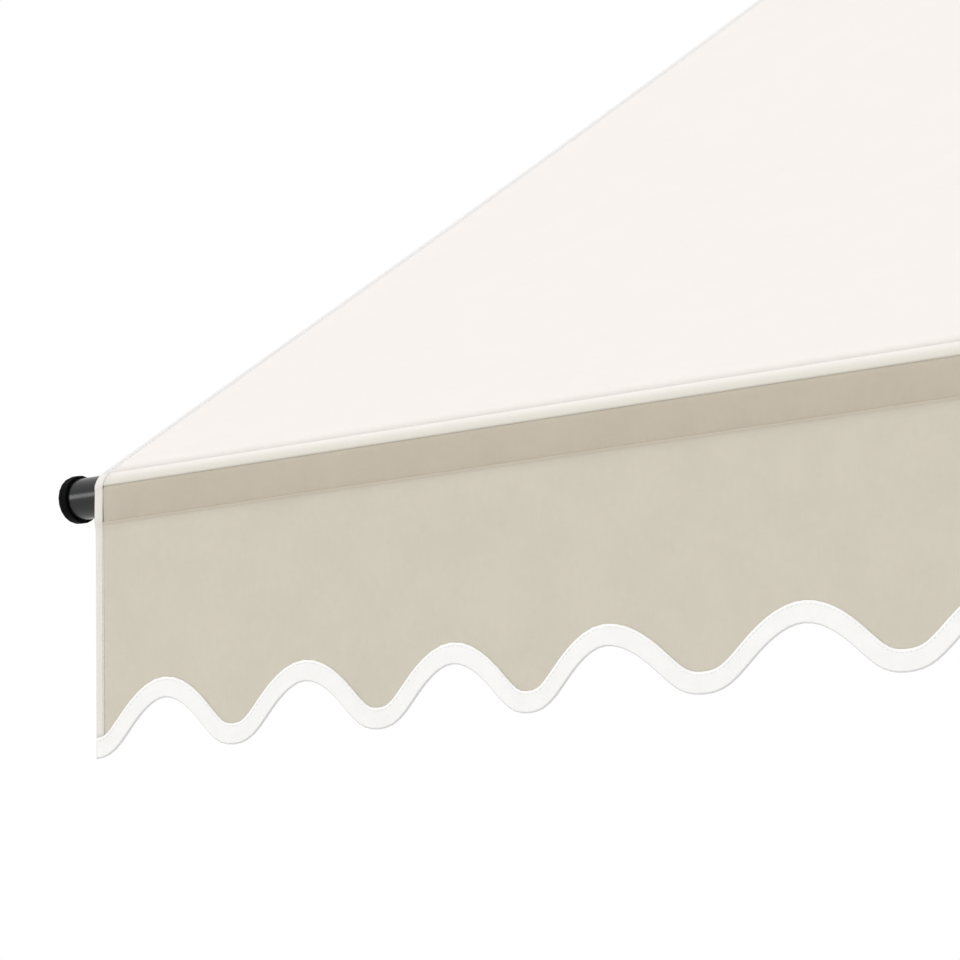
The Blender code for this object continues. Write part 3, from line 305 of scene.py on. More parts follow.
def cloth_look(name, colour, mottle, painted_light_fade=None):
    """Spun-dyed plain weave: fine threads, slubs along both of them and a soft mottle.

    The fade, if given, is painted light: a second colour, how it is measured, and where it starts and is
    reached.
    """
    look = Look(name)
    weave = look.weave()
    along, across, _ = look.parts(weave)
    turn = 2 * math.pi / THREAD_PITCH
    threads = (along * turn).sine() * (across * turn).sine()
    warp = look.noise(look.stretched(weave, (1500, 38, 1)), 1.0)
    weft = look.noise(look.stretched(weave, (38, 1500, 1)), 1.0)
    cloud = look.noise(weave, 21.0, 4.0, 0.6)
    patch = look.noise(weave, 140.0, 2.0)
    tone = cloud * 0.45 + patch * 0.2 + warp * 0.2 + weft * 0.15
    base = look.mix(tone.between(0.32, 0.68), shade(colour, 1 - mottle), shade(colour, 1 + mottle))
    # Painted light blended in: a highlight at the canopy's sides, shade over the bar and at the valance's top
    if painted_light_fade:
        other, way, start, end = painted_light_fade
        base = look.mix({"from the middle": abs(along), "down": across}[way].between(start, end), base, other)
    height = threads * 0.45 + warp * 0.5 + weft * 0.5
    return look.set(
        Base_Color=base,
        Roughness=0.84 + cloud * 0.1,
        Normal=look.bump(height, 0.35, 0.0003),
        Sheen_Weight=0.15,
        Sheen_Roughness=0.5,
        Specular_IOR_Level=0.2,
    )


def tape_look(name, colour, painted_edge_colour, crease):
    """Ribbed tape with a thin band along its fold painted in a second colour as light: painted shade on the
    wave binding, a painted highlight on the hems.
    """
    look = Look(name)
    weave = look.weave()
    along, across, _ = look.parts(weave)
    ribs = (along * (2 * math.pi / RIB_PITCH)).sine() * 0.5 + 0.5
    soil = look.noise(weave, 60.0, 3.0)
    base = look.mix(soil.between(0.35, 0.7), shade(colour, 0.985), shade(colour, 1.01))
    base = look.mix(ribs * 0.05, base, shade(colour, 0.9))
    # Painted light along the fold: shade on the binding, highlight on the hems
    edge = across.between(crease, crease * 0.45)
    return look.set(
        Base_Color=look.mix(edge, base, painted_edge_colour),
        Roughness=0.78 + soil * 0.12,
        Normal=look.bump(ribs + soil, 0.3, 0.0002),
        Sheen_Weight=0.1,
        Specular_IOR_Level=0.25,
    )


def thread_look(name, colour):
    """Twisted sewing thread."""
    look = Look(name)
    place = look.place()
    strands = look.noise(look.stretched(place, (2600, 900, 900)), 1.0)
    base = look.mix(strands, shade(colour, 0.94), shade(colour, 1.04))
    return look.set(Base_Color=base, Roughness=0.7 + strands * 0.1, Normal=look.bump(strands, 0.4, 0.0002))


def coat_look(name, settings, grain, lift=1.0):
    """Powder coat: fine orange peel, rubbed streaks and a little dust."""
    look = Look(name)
    place = look.place()
    peel = look.noise(place, grain, 2.0, 0.6)
    rubbed = look.noise(look.stretched(place, (6, 60, 60)), 1.0, 4.0, 0.7)
    dust = look.noise(place, 9.0, 4.0, 0.6)
    colour = shade(settings.coat_colour, lift)
    base = look.mix(dust.between(0.42, 0.75) * 0.5, colour, shade(colour, 1.35))
    base = look.mix(rubbed.between(0.66, 0.8) * 0.35, base, shade(colour, 2.2))
    rough = settings.coat_roughness - 0.05 + dust * 0.12 + rubbed.between(0.6, 0.8) * 0.12
    return look.set(
        Base_Color=base,
        Roughness=rough,
        Normal=look.bump(peel, 0.16, 0.0004),
        Specular_IOR_Level=0.3,
    )


def plastic_look(name, colour):
    """Moulded plastic with a fine eroded grain."""
    look = Look(name)
    place = look.place()
    cells = look.node("ShaderNodeTexVoronoi", {"feature": "F1"}, {"Vector": place, "Scale": 1400.0})[0]
    soil = look.noise(place, 45.0, 3.0)
    base = look.mix(soil.between(0.4, 0.75), colour, shade(colour, 2.2))
    return look.set(
        Base_Color=base,
        Roughness=0.5 + soil * 0.16,
        Normal=look.bump(cells, 0.2, 0.0002),
        Specular_IOR_Level=0.03,
    )


def rubber_look(name):
    """Dull rubber, greyed where it has stood."""
    look = Look(name)
    place = look.place()
    grit = look.noise(place, 700.0, 2.0)
    worn = look.noise(place, 30.0, 4.0)
    base = look.mix(worn.between(0.45, 0.7), (0.013, 0.013, 0.013), (0.035, 0.034, 0.032))
    return look.set(
        Base_Color=base,
        Roughness=0.8 + worn * 0.15,
        Normal=look.bump(grit, 0.35, 0.0004),
        Specular_IOR_Level=0.25,
    )


def zinc_look(name):
    """Zinc plate: cool, slightly clouded, with fine turning marks."""
    look = Look(name)
    place = look.place()
    cloud = look.noise(place, 160.0, 3.0)
    marks = look.noise(look.stretched(place, (40, 40, 4200)), 1.0)
    base = look.mix(cloud.between(0.35, 0.7), (0.50, 0.515, 0.54), (0.66, 0.665, 0.66))
    return look.set(
        Base_Color=base, Metallic=1.0, Roughness=0.28 + cloud * 0.2, Normal=look.bump(marks, 0.12, 0.0002)
    )


def bronze_look(name):
    """Machined bronze, darkened by grease."""
    look = Look(name)
    place = look.place()
    marks = look.noise(look.stretched(place, (5000, 120, 120)), 1.0)
    grease = look.noise(place, 220.0, 3.0)
    base = look.mix(grease.between(0.4, 0.7), (0.50, 0.33, 0.13), (0.24, 0.15, 0.06))
    return look.set(
        Base_Color=base, Metallic=1.0, Roughness=0.3 + grease * 0.2, Normal=look.bump(marks, 0.2, 0.0002)
    )


def floor_look(colour):
    """Pale studio floor with a barely visible tooth."""
    look = Look("studio_floor")
    tooth = look.noise(look.place(), 300.0, 2.0)
    base = look.mix(tooth, shade(colour, 0.99), shade(colour, 1.01))
    return look.set(Base_Color=base, Roughness=0.7 + tooth * 0.1, Specular_IOR_Level=0.2)


def finish(name):
    """The named material, made once."""
    made = bpy.data.materials.get(name)
    if made:
        return made
    cloth, metal = bpy.context.scene.awning_cloth, bpy.context.scene.awning_finish
    canopy, sleeve, tape = cloth.canopy_colour, cloth.sleeve_shade_colour, cloth.tape_colour
    # The fades are painted light: a highlight at the canopy's sides, shade on its end over the bar, and shade
    # at the valance's top where it meets the sleeve
    edge_highlight_fade = (cloth.painted_edge_colour, "from the middle", CLOTH_HALF - EDGE_HIGHLIGHT_FADE, CLOTH_HALF)
    lap_shade_fade = (cloth.lap_shade_colour, "down", REACH, REACH + LAP_R * (LAP_END - LAP_START))
    top_shade_fade = (sleeve, "down", VALANCE_TOP - TOP_MARGIN, VALANCE_TOP)
    maker, *values = {
        "canopy_cloth": (cloth_look, canopy, 0.012, edge_highlight_fade),
        "lap_cloth": (cloth_look, canopy, 0.012, lap_shade_fade),
        # The valance's cloth is painted darker as shade, and fades at its top into the sleeve's painted shade
        "valance_cloth": (cloth_look, cloth.valance_shade_colour, 0.035, top_shade_fade),
        "sleeve_cloth": (cloth_look, sleeve, 0.035),
        # The tapes' fold colours are painted light: a highlight on the hems, grey shade on the wave binding
        "hem_tape": (tape_look, cloth.hem_colour, shade(cloth.hem_colour, 1.04), 0.0006),
        "canopy_tape": (tape_look, cloth.painted_edge_colour, cloth.painted_edge_colour, 0.0006),
        "wave_tape": (tape_look, tape, (0.68, 0.68, 0.68), 0.0011),
        "canopy_thread": (thread_look, canopy),
        "binding_thread": (thread_look, tape),
        "coated_steel": (coat_look, metal, 900.0),
        "coated_casting": (coat_look, metal, 420.0, 1.15),
        "moulded_plastic": (plastic_look, metal.plastic_colour),
        "sole_rubber": (rubber_look,),
        "zinc_plate": (zinc_look,),
        "machined_bronze": (bronze_look,),
    }[name]
    return maker(name, *values)


# Meshes


def add_object(name, data):
    made = bpy.data.objects.new(name, data)
    bpy.context.scene.collection.objects.link(made)
    return made


def add_piece(name, mesh, material, body, smooth_angle=None):
    """Link a finished mesh, give it its finish and let it ride on its body."""
    piece = add_object(name, mesh)
    if material:
        mesh.materials.clear()
        mesh.materials.append(finish(material))
    mesh.shade_smooth()
    if smooth_angle:
        mesh.set_sharp_from_angle(angle=math.radians(smooth_angle))
    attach(piece, body)
    return piece


def woven_mesh(name, rows, weave, outward, closed=False):
    """A sheet through rows of points.

    weave gives each point's place on the cloth, outward which way it faces.
    """
    count = len(rows[0])
    faces = []
    for low in range(0, (len(rows) - 1) * count, count):
        high = low + count
        for column in range(count if closed else count - 1):
            after = (column + 1) % count
            faces.append((low + column, low + after, high + after, high + column))
    mesh = bpy.data.meshes.new(name)
    mesh.from_pydata([point for row in rows for point in row], [], faces)
    flat = [number for row in weave for point in row for number in (point[0], point[1], 0.0)]
    mesh.attributes.new("weave", "FLOAT_VECTOR", "POINT").data.foreach_set("vector", flat)
    if sum(face.area * face.normal.dot(outward(face.center)) for face in mesh.polygons) < 0:
        mesh.flip_normals()
    mesh.update()
    return mesh


def rolled_mesh(name, axis, section, stations, weave=None, closed=False):
    """A sheet with its section drawn out sideways along an axis."""
    rows = [[axis + point + ACROSS * x for point in section] for x in stations]
    return woven_mesh(name, rows, weave or rows, lambda centre: centre - axis - ACROSS * centre.x, closed)


def sew(mesh, material, body, thickness, node=None):
    """Add a woven mesh as a piece of some thickness, in place of a node of the frame if one is named."""
    piece = add_piece(mesh.name, mesh, material, body)
    modifier = piece.modifiers.new("Thickness", "SOLIDIFY")
    modifier.thickness = thickness
    modifier.offset = 0.0
    if node:
        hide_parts(node)
    return piece


def around_bar(radius, angle):
    """A point round the bar's axis, in its upright plane; 180 degrees is straight out."""
    return Vector((0, radius * math.cos(angle), radius * math.sin(angle)))


def spread(low, high, steps):
    return [low + (high - low) * step / steps for step in range(steps + 1)]


def path_lengths(points):
    lengths = [0.0]
    for before, after in zip(points, points[1:]):
        lengths.append(lengths[-1] + (after - before).length)
    return lengths


# Canopy


def canopy_point(x, share):
    """A point of the canopy's middle surface: share 0 on the roller, 1 over the bar."""
    settings = bpy.context.scene.awning_cloth
    hollow = (4 * share * (1 - share)) ** 1.5
    side = abs(x) / CLOTH_HALF
    sag = settings.sag * hollow * (1 - 0.35 * side**4)
    # A faint unevenness from side to side
    sag += 0.0006 * math.sin(23 * x + 1.3) * hollow
    return Vector((x, ROLLER.y, ROLLER.z)) + OFF_CLOTH * (ROLL_TOP - sag) - UP_SLOPE * (REACH * share)


def winds_up(piece):
    """Gives the piece a mesh of its own."""
    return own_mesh(piece)


def make_canopy():
    settings = bpy.context.scene.awning_cloth
    shares, stations = spread(0, 1, 90), spread(-CLOTH_HALF, CLOTH_HALF, 96)
    rows = [[canopy_point(x, share) for x in stations] for share in shares]
    weave = [[(x, REACH * share) for x in stations] for share in shares]
    mesh = woven_mesh("canopy_sheet", rows, weave, lambda _: OFF_CLOTH)
    canopy = sew(mesh, "canopy_cloth", "head", CLOTH_T, node="canopy")

    pieces = []
    for side, hand in SIDES:
        edge = hand * CLOTH_HALF
        path = [canopy_point(edge, share) for share in spread(0, 1, 60)]
        normals = [OFF_CLOTH] * len(path)
        # The side tapes are painted all over in the canopy's edge highlight colour
        hem = folded_tape(f"{side}_canopy_hem", path, normals, hand, settings.hem_width, both_faces=False)
        pieces.append(sew(hem, "canopy_tape", "head", TAPE_T))

    # The two panels lap over each other along the middle
    lap_half, lap_lift, thread_shift = 0.010, 0.0002, 0.0003
    stations = (-lap_half, -lap_half / 2, 0, lap_half / 2, lap_half)
    lines = [canopy_point(0, share) + OFF_CLOTH * (CLOTH_T * 0.5 + lap_lift) for share in shares]
    rows = [[line + ACROSS * x for x in stations] for line in lines]
    weave = [[(x + thread_shift, REACH * share) for x in stations] for share in shares]
    mesh = woven_mesh("panel_lap", rows, weave, lambda _: OFF_CLOTH)
    pieces.append(sew(mesh, "canopy_cloth", "head", TAPE_T))
    for piece in [canopy, *pieces]:
        winds_up(piece)


def folded_tape(name, path, normals, hand, width, both_faces=True):
    """Tape folded round a side edge and back underneath, with its inner edges pressed into the cloth."""
    pressed, past_crease = 0.6, 0.002
    rows, weave = [], []
    for point, normal, along in zip(path, normals, path_lengths(path)):
        over = normal * (CLOTH_T / 2 + (TAPE_T / 2 + TAPE_LIFT))
        inwards = ACROSS * (-hand * width)
        outer = ACROSS * (hand * PAST_EDGE)
        under = [
            (0, point + outer - over * pressed),
            (0.1, point - over),
            (0.5, point + inwards / 2 - over),
            (0.9, point + inwards * 0.9 - over),
            (1, point + inwards - over * pressed),
        ]
        top = [
            (share, place + 2 * (over * (pressed if share in (0, 1) else 1)))
            for share, place in reversed(under)
        ]
        section = (top if both_faces else [(0, point + outer + over * pressed)]) + under
        rows.append([place for _, place in section])
        weave.append([(along, share * width + past_crease) for share, _ in section])
    middle = path[len(path) // 2]
    return woven_mesh(
        name, rows, weave, lambda centre: centre - Vector((centre.x * 0.99, middle.y, middle.z))
    )


# Sleeve round the front bar


def sleeve_outline(radius, grow=0.0):
    """The sleeve's section: round the bar and down to its seam."""
    small = SEAM_R + grow
    heading = math.atan2(SEAM_Z, SEAM_Y)
    open_angle = math.acos((radius - small) / math.hypot(SEAM_Y, SEAM_Z))
    round_bar = spread(heading + open_angle, heading + 2 * math.pi - open_angle, 64)
    round_seam = spread(heading - open_angle, heading + open_angle, 8)
    centre = Vector((0, SEAM_Y, SEAM_Z))
    points = [around_bar(radius, angle) for angle in round_bar]
    return points + [centre + around_bar(small, angle) for angle in round_seam]


def make_bar_tube():
    """The front bar as a drawn round tube, open at its ends under the caps."""
    low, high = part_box("front_bar")
    radius = (high.z - low.z) / 2 - TUBE_WALL / 2
    section = [around_bar(radius, angle) for angle in spread(0, 2 * math.pi, 96)[:-1]]
    stations = (low.x, low.x + TUBE_RIM, 0, high.x - TUBE_RIM, high.x)
    mesh = rolled_mesh("bar_tube", BAR, section, stations, closed=True)
    sew(mesh, "coated_steel", "front_bar", TUBE_WALL, "front_bar")


def make_sleeve():
    outline = sleeve_outline(POCKET_R - CLOTH_T / 2, -CLOTH_T / 2)
    lengths = path_lengths(outline)
    stations = spread(-CLOTH_HALF, CLOTH_HALF, 64)
    weave = [[(x, along) for along in lengths] for x in stations]
    mesh = rolled_mesh("bar_sleeve", BAR, outline, stations, weave, closed=True)
    # The sleeve's cloth is painted darker as the bar's shade
    sleeve = sew(mesh, "sleeve_cloth", "front_bar", CLOTH_T, node="bar_pocket")

    # The canopy's own end goes on over the bar and stops in a folded edge
    section = [around_bar(LAP_R + LAP_T / 2, angle) for angle in spread(LAP_START, LAP_END, 14)]
    section.append(around_bar(POCKET_R, LAP_END + math.radians(1.5)))
    lengths = path_lengths(section)
    weave = [[(x, REACH + along) for along in lengths] for x in stations]
    # Its cloth is painted darker towards the folded edge as shade
    end = sew(rolled_mesh("canopy_end", BAR, section, stations, weave), "lap_cloth", "front_bar", LAP_T)


# Valance


WAVE_STATIONS = spread(-CLOTH_HALF, CLOTH_HALF, 288)


def wave_phase(x):
    """Waves counted from the left end."""
    middle = (2 * CLOTH_HALF - 2 * END_WAVES * END_PITCH) / MID_WAVES
    along = x + CLOTH_HALF
    first = END_WAVES * END_PITCH
    if along <= first:
        return along / END_PITCH
    if along <= first + MID_WAVES * middle:
        return END_WAVES + (along - first) / middle
    return END_WAVES + MID_WAVES + (along - first - MID_WAVES * middle) / END_PITCH


def wave_height(x):
    """Height of the wave's edge; the feet of the waves are rounder than their tops."""
    turn = 2 * math.pi * wave_phase(x)
    rounded = ROUNDED * (1 + math.cos(turn)) / 2
    swing = (math.cos(turn) - rounded * math.cos(3 * turn)) / (1 - rounded)
    return -(PEAK + TROUGH) / 2 - (TROUGH - PEAK) / 2 * swing


def valance_point(x, height, off=0.0):
    """A point of the hanging cloth's middle surface, off towards the viewer.

    Its top lies over the sleeve's seam.
    """
    settings = bpy.context.scene.awning_cloth
    drop = max((HANG_TOP - height) / TROUGH, 0)
    over = min(max((height - VALANCE_FREE) / (VALANCE_TOP - VALANCE_FREE), 0), 1)
    wave = math.sin(9.1 * x + 0.7) + 0.6 * math.sin(21.3 * x + 2.1) + 0.25 * math.sin(47 * x)
    hangs = SEAM_Y + LEAN * (HANG_TOP - height)
    y = hangs + settings.ripple * wave * drop**1.5 - OVER_SEAM * over**2
    return Vector((x, BAR.y + y - off, BAR.z + height))


def make_valance():
    stations = WAVE_STATIONS
    rows, weave = [], []
    # The rows lie closer where the top bends over the seam
    for share in spread(0, 0.05, 5) + spread(0.1, 1, 12):
        heights = [VALANCE_TOP + (wave_height(x) + CLOTH_T - VALANCE_TOP) * share for x in stations]
        rows.append([valance_point(x, height) for x, height in zip(stations, heights)])
        weave.append(list(zip(stations, heights)))
    mesh = woven_mesh("valance_sheet", rows, weave, lambda _: Vector((0, -1, 0)))
    make_binding(sew(mesh, "valance_cloth", "front_bar", CLOTH_T, node="valance"))


def wave_frame(x):
    """The wave's edge and the way in from it, square to its curve, in the valance's own plane."""
    step = 0.0005
    slope = (wave_height(x + step) - wave_height(x - step)) / (2 * step)
    inwards = Vector((-slope, 1.0)).normalized()
    if abs(x) > CLOTH_HALF - step:
        inwards = Vector((0.0, 1.0))
    return Vector((x, wave_height(x))), inwards


def tape_point(x, inset, off):
    edge, inwards = wave_frame(x)
    place = edge + inwards * inset
    return valance_point(max(-CLOTH_HALF - PAST_EDGE, min(CLOTH_HALF + PAST_EDGE, place.x)), place.y, off)


def make_binding(valance):
    settings = bpy.context.scene.awning_cloth
    front = CLOTH_T / 2 + 0.00045
    sections = [(settings.tape_width * share, front) for share in (1, 0.8, 0.6, 0.4, 0.2, 0.08, 0.03)]
    sections += [(0.0, 0.0)]
    sections += [(inset, -off) for inset, off in reversed(sections[:-1])]
    rows = [[tape_point(x, inset, off) for inset, off in sections] for x in WAVE_STATIONS]
    weave = [[(x, inset) for inset, _ in sections] for x in WAVE_STATIONS]

    def outward(centre):
        return Vector((0, centre.y - (BAR.y + SEAM_Y + LEAN * (BAR.z - centre.z)), -0.0001))

    mesh = woven_mesh("wave_binding", rows, weave, outward)
    # The binding is painted with a grey band of shade along its fold
    binding = sew(mesh, "wave_tape", "front_bar", BINDING_T, "valance_binding")

    for side, hand in SIDES:
        edge = hand * CLOTH_HALF
        path, normals = [], []
        for angle in spread(LAP_START, math.pi, 24):
            past = min(max((angle - LAP_END) / (math.pi - LAP_END), 0), 1)
            radius = LAP_R + LAP_T + (POCKET_R - LAP_R - LAP_T) * past * past * (3 - 2 * past)
            path.append(BAR + ACROSS * edge + around_bar(radius - CLOTH_T / 2, angle))
            normals.append(around_bar(1, angle))
        low = wave_height(edge) + settings.tape_width - 0.002
        for height in spread(HEM_DROP, VALANCE_TOP, 6)[:-1]:
            path.append(Vector((edge, BAR.y - POCKET_R + CLOTH_T / 2, BAR.z + height)))
            normals.append(Vector((0, -1, 0)))
        for height in spread(VALANCE_TOP, VALANCE_FREE, 6)[:-1] + spread(VALANCE_FREE, low, 24):
            path.append(valance_point(edge, height))
            normals.append(Vector((0, -1, 0)))
        # The hems are painted with a lighter band along their fold as a highlight
        hem = folded_tape(f"{side}_valance_hem", path, normals, hand, settings.hem_width)
        sew(hem, "hem_tape", "front_bar", TAPE_T)

    heights = [VALANCE_TOP - wave_height(x) for x in WAVE_STATIONS]
    area = 2 * CLOTH_HALF * sum(heights) / len(heights)


# Cloth left on the roller


def make_wound_cloth():
    """Two turns of cloth as the spiral that they are."""
    turns, per_turn = 2, 48
    widening = WOUND_OUTER - WOUND_INNER - 0.0003
    stations = spread(-CLOTH_HALF, CLOTH_HALF, 24)
    section = []
    for step in range(turns * per_turn + 1):
        share = step / (turns * per_turn)
        angle = math.pi / 2 + SLOPE + 2 * math.pi * turns * (share - 1)
        section.append(around_bar(WOUND_INNER + widening * share, angle))
    lengths = path_lengths(section)
    weave = [[(x, along - lengths[-1]) for along in lengths] for x in stations]
    mesh = rolled_mesh("wound_cloth", ROLLER, section, stations, weave)
    wound = sew(mesh, "canopy_cloth", "roller", WOUND_T, node="cloth_roll")


# Small parts that repeat


def start_tree(name, sockets):
    """An empty tree with geometry, the given sockets and a material coming in, and those inputs."""
    made = bpy.data.node_groups.new(name, "GeometryNodeTree")
    for socket, kind in {"Geometry": "Geometry", **sockets, "Material": "Material"}.items():
        made.interface.new_socket(name=socket, in_out="INPUT", socket_type=f"NodeSocket{kind}")
    made.interface.new_socket(name="Geometry", in_out="OUTPUT", socket_type="NodeSocketGeometry")
    tree = Tree(made)
    return tree, tree.node("NodeGroupInput")[: len(sockets) + 2]


def end_tree(tree, geometry, material):
    """Make the instances real, give them their finish and put them out."""
    real = tree.node("GeometryNodeRealizeInstances", None, {"Geometry": geometry})[0]
    done = tree.node("GeometryNodeSetMaterial", None, {"Geometry": real, "Material": material})[0]
    tree.node("NodeGroupOutput", None, {0: done})
    return tree.tree


def placing_tree():
    """Nodes that put one small mesh at each point, turned to the surface and its direction."""
    made = bpy.data.node_groups.get("PlacedOnSurface")
    if made:
        return made
    sockets = {"Unit": "Object", "Size": "Vector", "Loose Turn": "Float", "Seed": "Int"}
    tree, (points, unit, size, loose, seed, material) = start_tree("PlacedOnSurface", sockets)
    vector = {"data_type": "FLOAT_VECTOR"}
    along = tree.node("GeometryNodeInputNamedAttribute", vector, {"Name": "along"})[0]
    outward = tree.node("GeometryNodeInputNamedAttribute", vector, {"Name": "outward"})[0]
    align = "FunctionNodeAlignRotationToVector"
    turn = tree.node(align, {"axis": "Z"}, {"Vector": outward})[0]
    turn = tree.node(align, {"axis": "X", "pivot_axis": "Z"}, {"Rotation": turn, "Vector": along})[0]
    sockets = {"Min": loose * -1.0, "Max": loose, "Seed": seed}
    random = tree.node("FunctionNodeRandomValue", {"data_type": "FLOAT"}, sockets)
    sockets = {"Axis": (0, 0, 1), "Angle": random[0]}
    spin = tree.node("FunctionNodeAxisAngleToRotation", None, sockets)[0]
    sockets = {"Rotation": turn, "Rotate By": spin}
    turn = tree.node("FunctionNodeRotateRotation", {"rotation_space": "LOCAL"}, sockets)[0]
    mesh = tree.node("GeometryNodeObjectInfo", {"transform_space": "ORIGINAL"}, {"Object": unit})[-1]
    sockets = {"Points": points, "Instance": mesh, "Rotation": turn, "Scale": size}
    return end_tree(tree, tree.node("GeometryNodeInstanceOnPoints", None, sockets)[0], material)


def run_tree(start, tree, inputs, name):
    """Run a tree on the mesh it starts from and keep the result as a plain mesh."""
    carrier = add_object(f"{name}_carrier", start)
    modifier = carrier.modifiers.new(name, "NODES")
    modifier.node_group = tree
    for item in tree.interface.items_tree:
        if item.in_out == "INPUT" and item.name in inputs:
            modifier[item.identifier] = inputs[item.name]
    carrier.update_tag()
    bpy.context.view_layer.update()
    depsgraph = bpy.context.evaluated_depsgraph_get()
    mesh = bpy.data.meshes.new_from_object(carrier.evaluated_get(depsgraph), depsgraph=depsgraph)
    mesh.name = name
    bpy.data.objects.remove(carrier, do_unlink=True)
    if not mesh.polygons:
        raise RuntimeError(f"{name} came out empty")
    return mesh


def scatter(name, spots, unit, size, material, loose=0.0):
    """A mesh of the unit at each spot (place, outward, along)."""
    mesh = bpy.data.meshes.new(f"{name}_spots")
    mesh.from_pydata([place for place, _, _ in spots], [], [])
    for index, attribute in ((1, "outward"), (2, "along")):
        flat = [number for spot in spots for number in spot[index]]
        mesh.attributes.new(attribute, "FLOAT_VECTOR", "POINT").data.foreach_set("vector", flat)
    inputs = {"Unit": unit, "Size": size, "Loose Turn": loose, "Material": finish(material)}
    inputs["Seed"] = bpy.context.scene.awning_finish.turn_seed
    return run_tree(mesh, placing_tree(), inputs, name)


def hexagon(angle):
    """How far out a hexagon reaches at an angle, against its corners."""
    return math.cos(math.pi / 6) / math.cos((angle % (math.pi / 3)) - math.pi / 6)


def unit_object(name, profile, segments, recess=None):
    """A small turned mesh about +Z from (radius, height) points, with a hexagon recess if wanted."""
    bm = bmesh.new()

    def ring(radius, height, shape=lambda angle: 1):
        count = segments if radius > 0 else 1
        made = []
        for angle in (2 * math.pi * step / count for step in range(count)):
            out = radius * shape(angle)
            made.append(bm.verts.new((out * math.cos(angle), out * math.sin(angle), height)))
        return made

    rings = [ring(*point) for point in profile]
    if recess:
        radius, top, depth = recess
        rings += [ring(radius, top, hexagon), ring(radius, top - depth, hexagon), ring(0, top - depth)]
    for low, high in zip(rings, rings[1:]):
        for step in range(segments):
            after = (step + 1) % segments
            corners = [low[step % len(low)], low[after % len(low)]]
            corners += [high[after % len(high)], high[step % len(high)]]
            bm.faces.new([corner for index, corner in enumerate(corners) if corner not in corners[:index]])
    mesh = bpy.data.meshes.new(name)
    bm.to_mesh(mesh)
    bm.free()
    mesh.shade_smooth()
    mesh.set_sharp_from_angle(angle=math.radians(40))
    unit = add_object(name, mesh)
    unit.hide_render = True
    return unit


def drop_unit(unit):
    bpy.data.objects.remove(unit, do_unlink=True)


def row_of_spots(points, normal, pitch):
    """Spots a pitch apart along a line of points."""
    lengths = path_lengths(points)
    spots, index = [], 0
    for number in range(int(lengths[-1] / pitch)):
        at = (number + 0.5) * pitch
        while lengths[index + 1] < at:
            index += 1
        share = (at - lengths[index]) / (lengths[index + 1] - lengths[index])
        place = points[index].lerp(points[index + 1], share)
        along = (points[index + 1] - points[index]).normalized()
        spots.append((place, normal, along))
    return spots


def make_stitches():
    settings = bpy.context.scene.awning_cloth
    pitch = settings.stitch_pitch
    unit = unit_object("stitch_unit", [(0, -1), (0.8, -0.6), (1, 0), (0.8, 0.6), (0, 1)], 6)
    size = Vector((pitch * 0.40, 0.00032, 0.00026))
    out = Vector((0, -1, 0))
    from_end, from_edge, from_hem_edge = 0.002, 0.0018, 0.0016
    stations = spread(-CLOTH_HALF + from_end, CLOTH_HALF - from_end, 288)
    hem_x = CLOTH_HALF - settings.hem_width + from_hem_edge
    tape_face, cloth_face = CLOTH_T / 2 + 0.0007, CLOTH_T / 2 + 0.0001
    spots = []
    for off, normal in ((tape_face, out), (-tape_face, -out)):
        line = [tape_point(x, settings.tape_width - from_edge, off) for x in stations]
        spots += row_of_spots(line, normal, pitch)
    for _, hand in SIDES:
        foot = wave_height(hand * CLOTH_HALF) + settings.tape_width
        heights = spread(VALANCE_TOP - TOP_MARGIN, foot, 30)
        for off, normal in ((tape_face + TAPE_LIFT, out), (-tape_face - TAPE_LIFT, -out)):
            line = [valance_point(hand * hem_x, height, off) for height in heights]
            spots += row_of_spots(line, normal, pitch)
    mesh = scatter("valance_stitches", spots, unit, size, "binding_thread")
    add_piece("valance_stitches", mesh, None, "front_bar")

    spots = []
    lap_x = 0.0085
    for x in (-hem_x, -lap_x, lap_x, hem_x):
        # The rows underneath stop short of the roll and the bar, which the cloth lies on
        below = cloth_face if abs(x) == lap_x else tape_face
        for hand, off, clear in ((1, tape_face, 0.002), (-1, below, 0.02)):
            shares = spread(clear, 1 - clear, 90)
            line = [canopy_point(x, share) + OFF_CLOTH * (off * hand) for share in shares]
            spots += row_of_spots(line, OFF_CLOTH * hand, pitch)
    mesh = scatter("canopy_stitches", spots, unit, size, "canopy_thread")
    winds_up(add_piece("canopy_stitches", mesh, None, "head"))
    drop_unit(unit)


# Fasteners


def on_slope(x, up, off):
    """A point given in the slope frame, from the roller's axis."""
    return Vector((x, ROLLER.y, ROLLER.z)) + UP_SLOPE * up + OFF_CLOTH * off


def head_screws():
    spots = []
    for side, hand in SIDES:
        low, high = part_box(f"{side}_post_clamp")
        middle = (low + high) / 2
        for x in (-CLAMP_SCREW, CLAMP_SCREW):
            for z in (-CLAMP_SCREW, CLAMP_SCREW):
                spots.append((Vector((middle.x + x, high.y, middle.z + z)), (0, 1, 0), (1, 0, 0)))
        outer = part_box(f"{side}_roller_bracket")[0 if hand < 0 else 1].x
        for up in BRACKET_SCREWS:
            spots.append((on_slope(outer, up, BRACKET_OFF), (hand, 0, 0), (0, 0, 1)))
        centre = sum(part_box(f"{side}_shoulder_pin"), Vector()) / 2
        for x in (-SHOULDER_SCREW, SHOULDER_SCREW):
            for off in SHOULDER_OFFS:
                place = on_slope(centre.x + x, SHOULDER_FACE + COUNTERSUNK, off)
                spots.append((place, -UP_SLOPE, (1, 0, 0)))
    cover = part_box("gearbox_cover")[1].x
    for y, z in COVER_SCREWS:
        spots.append((Vector((cover, ROLLER.y + y, ROLLER.z + z)), (1, 0, 0), (0, 0, 1)))
    return spots


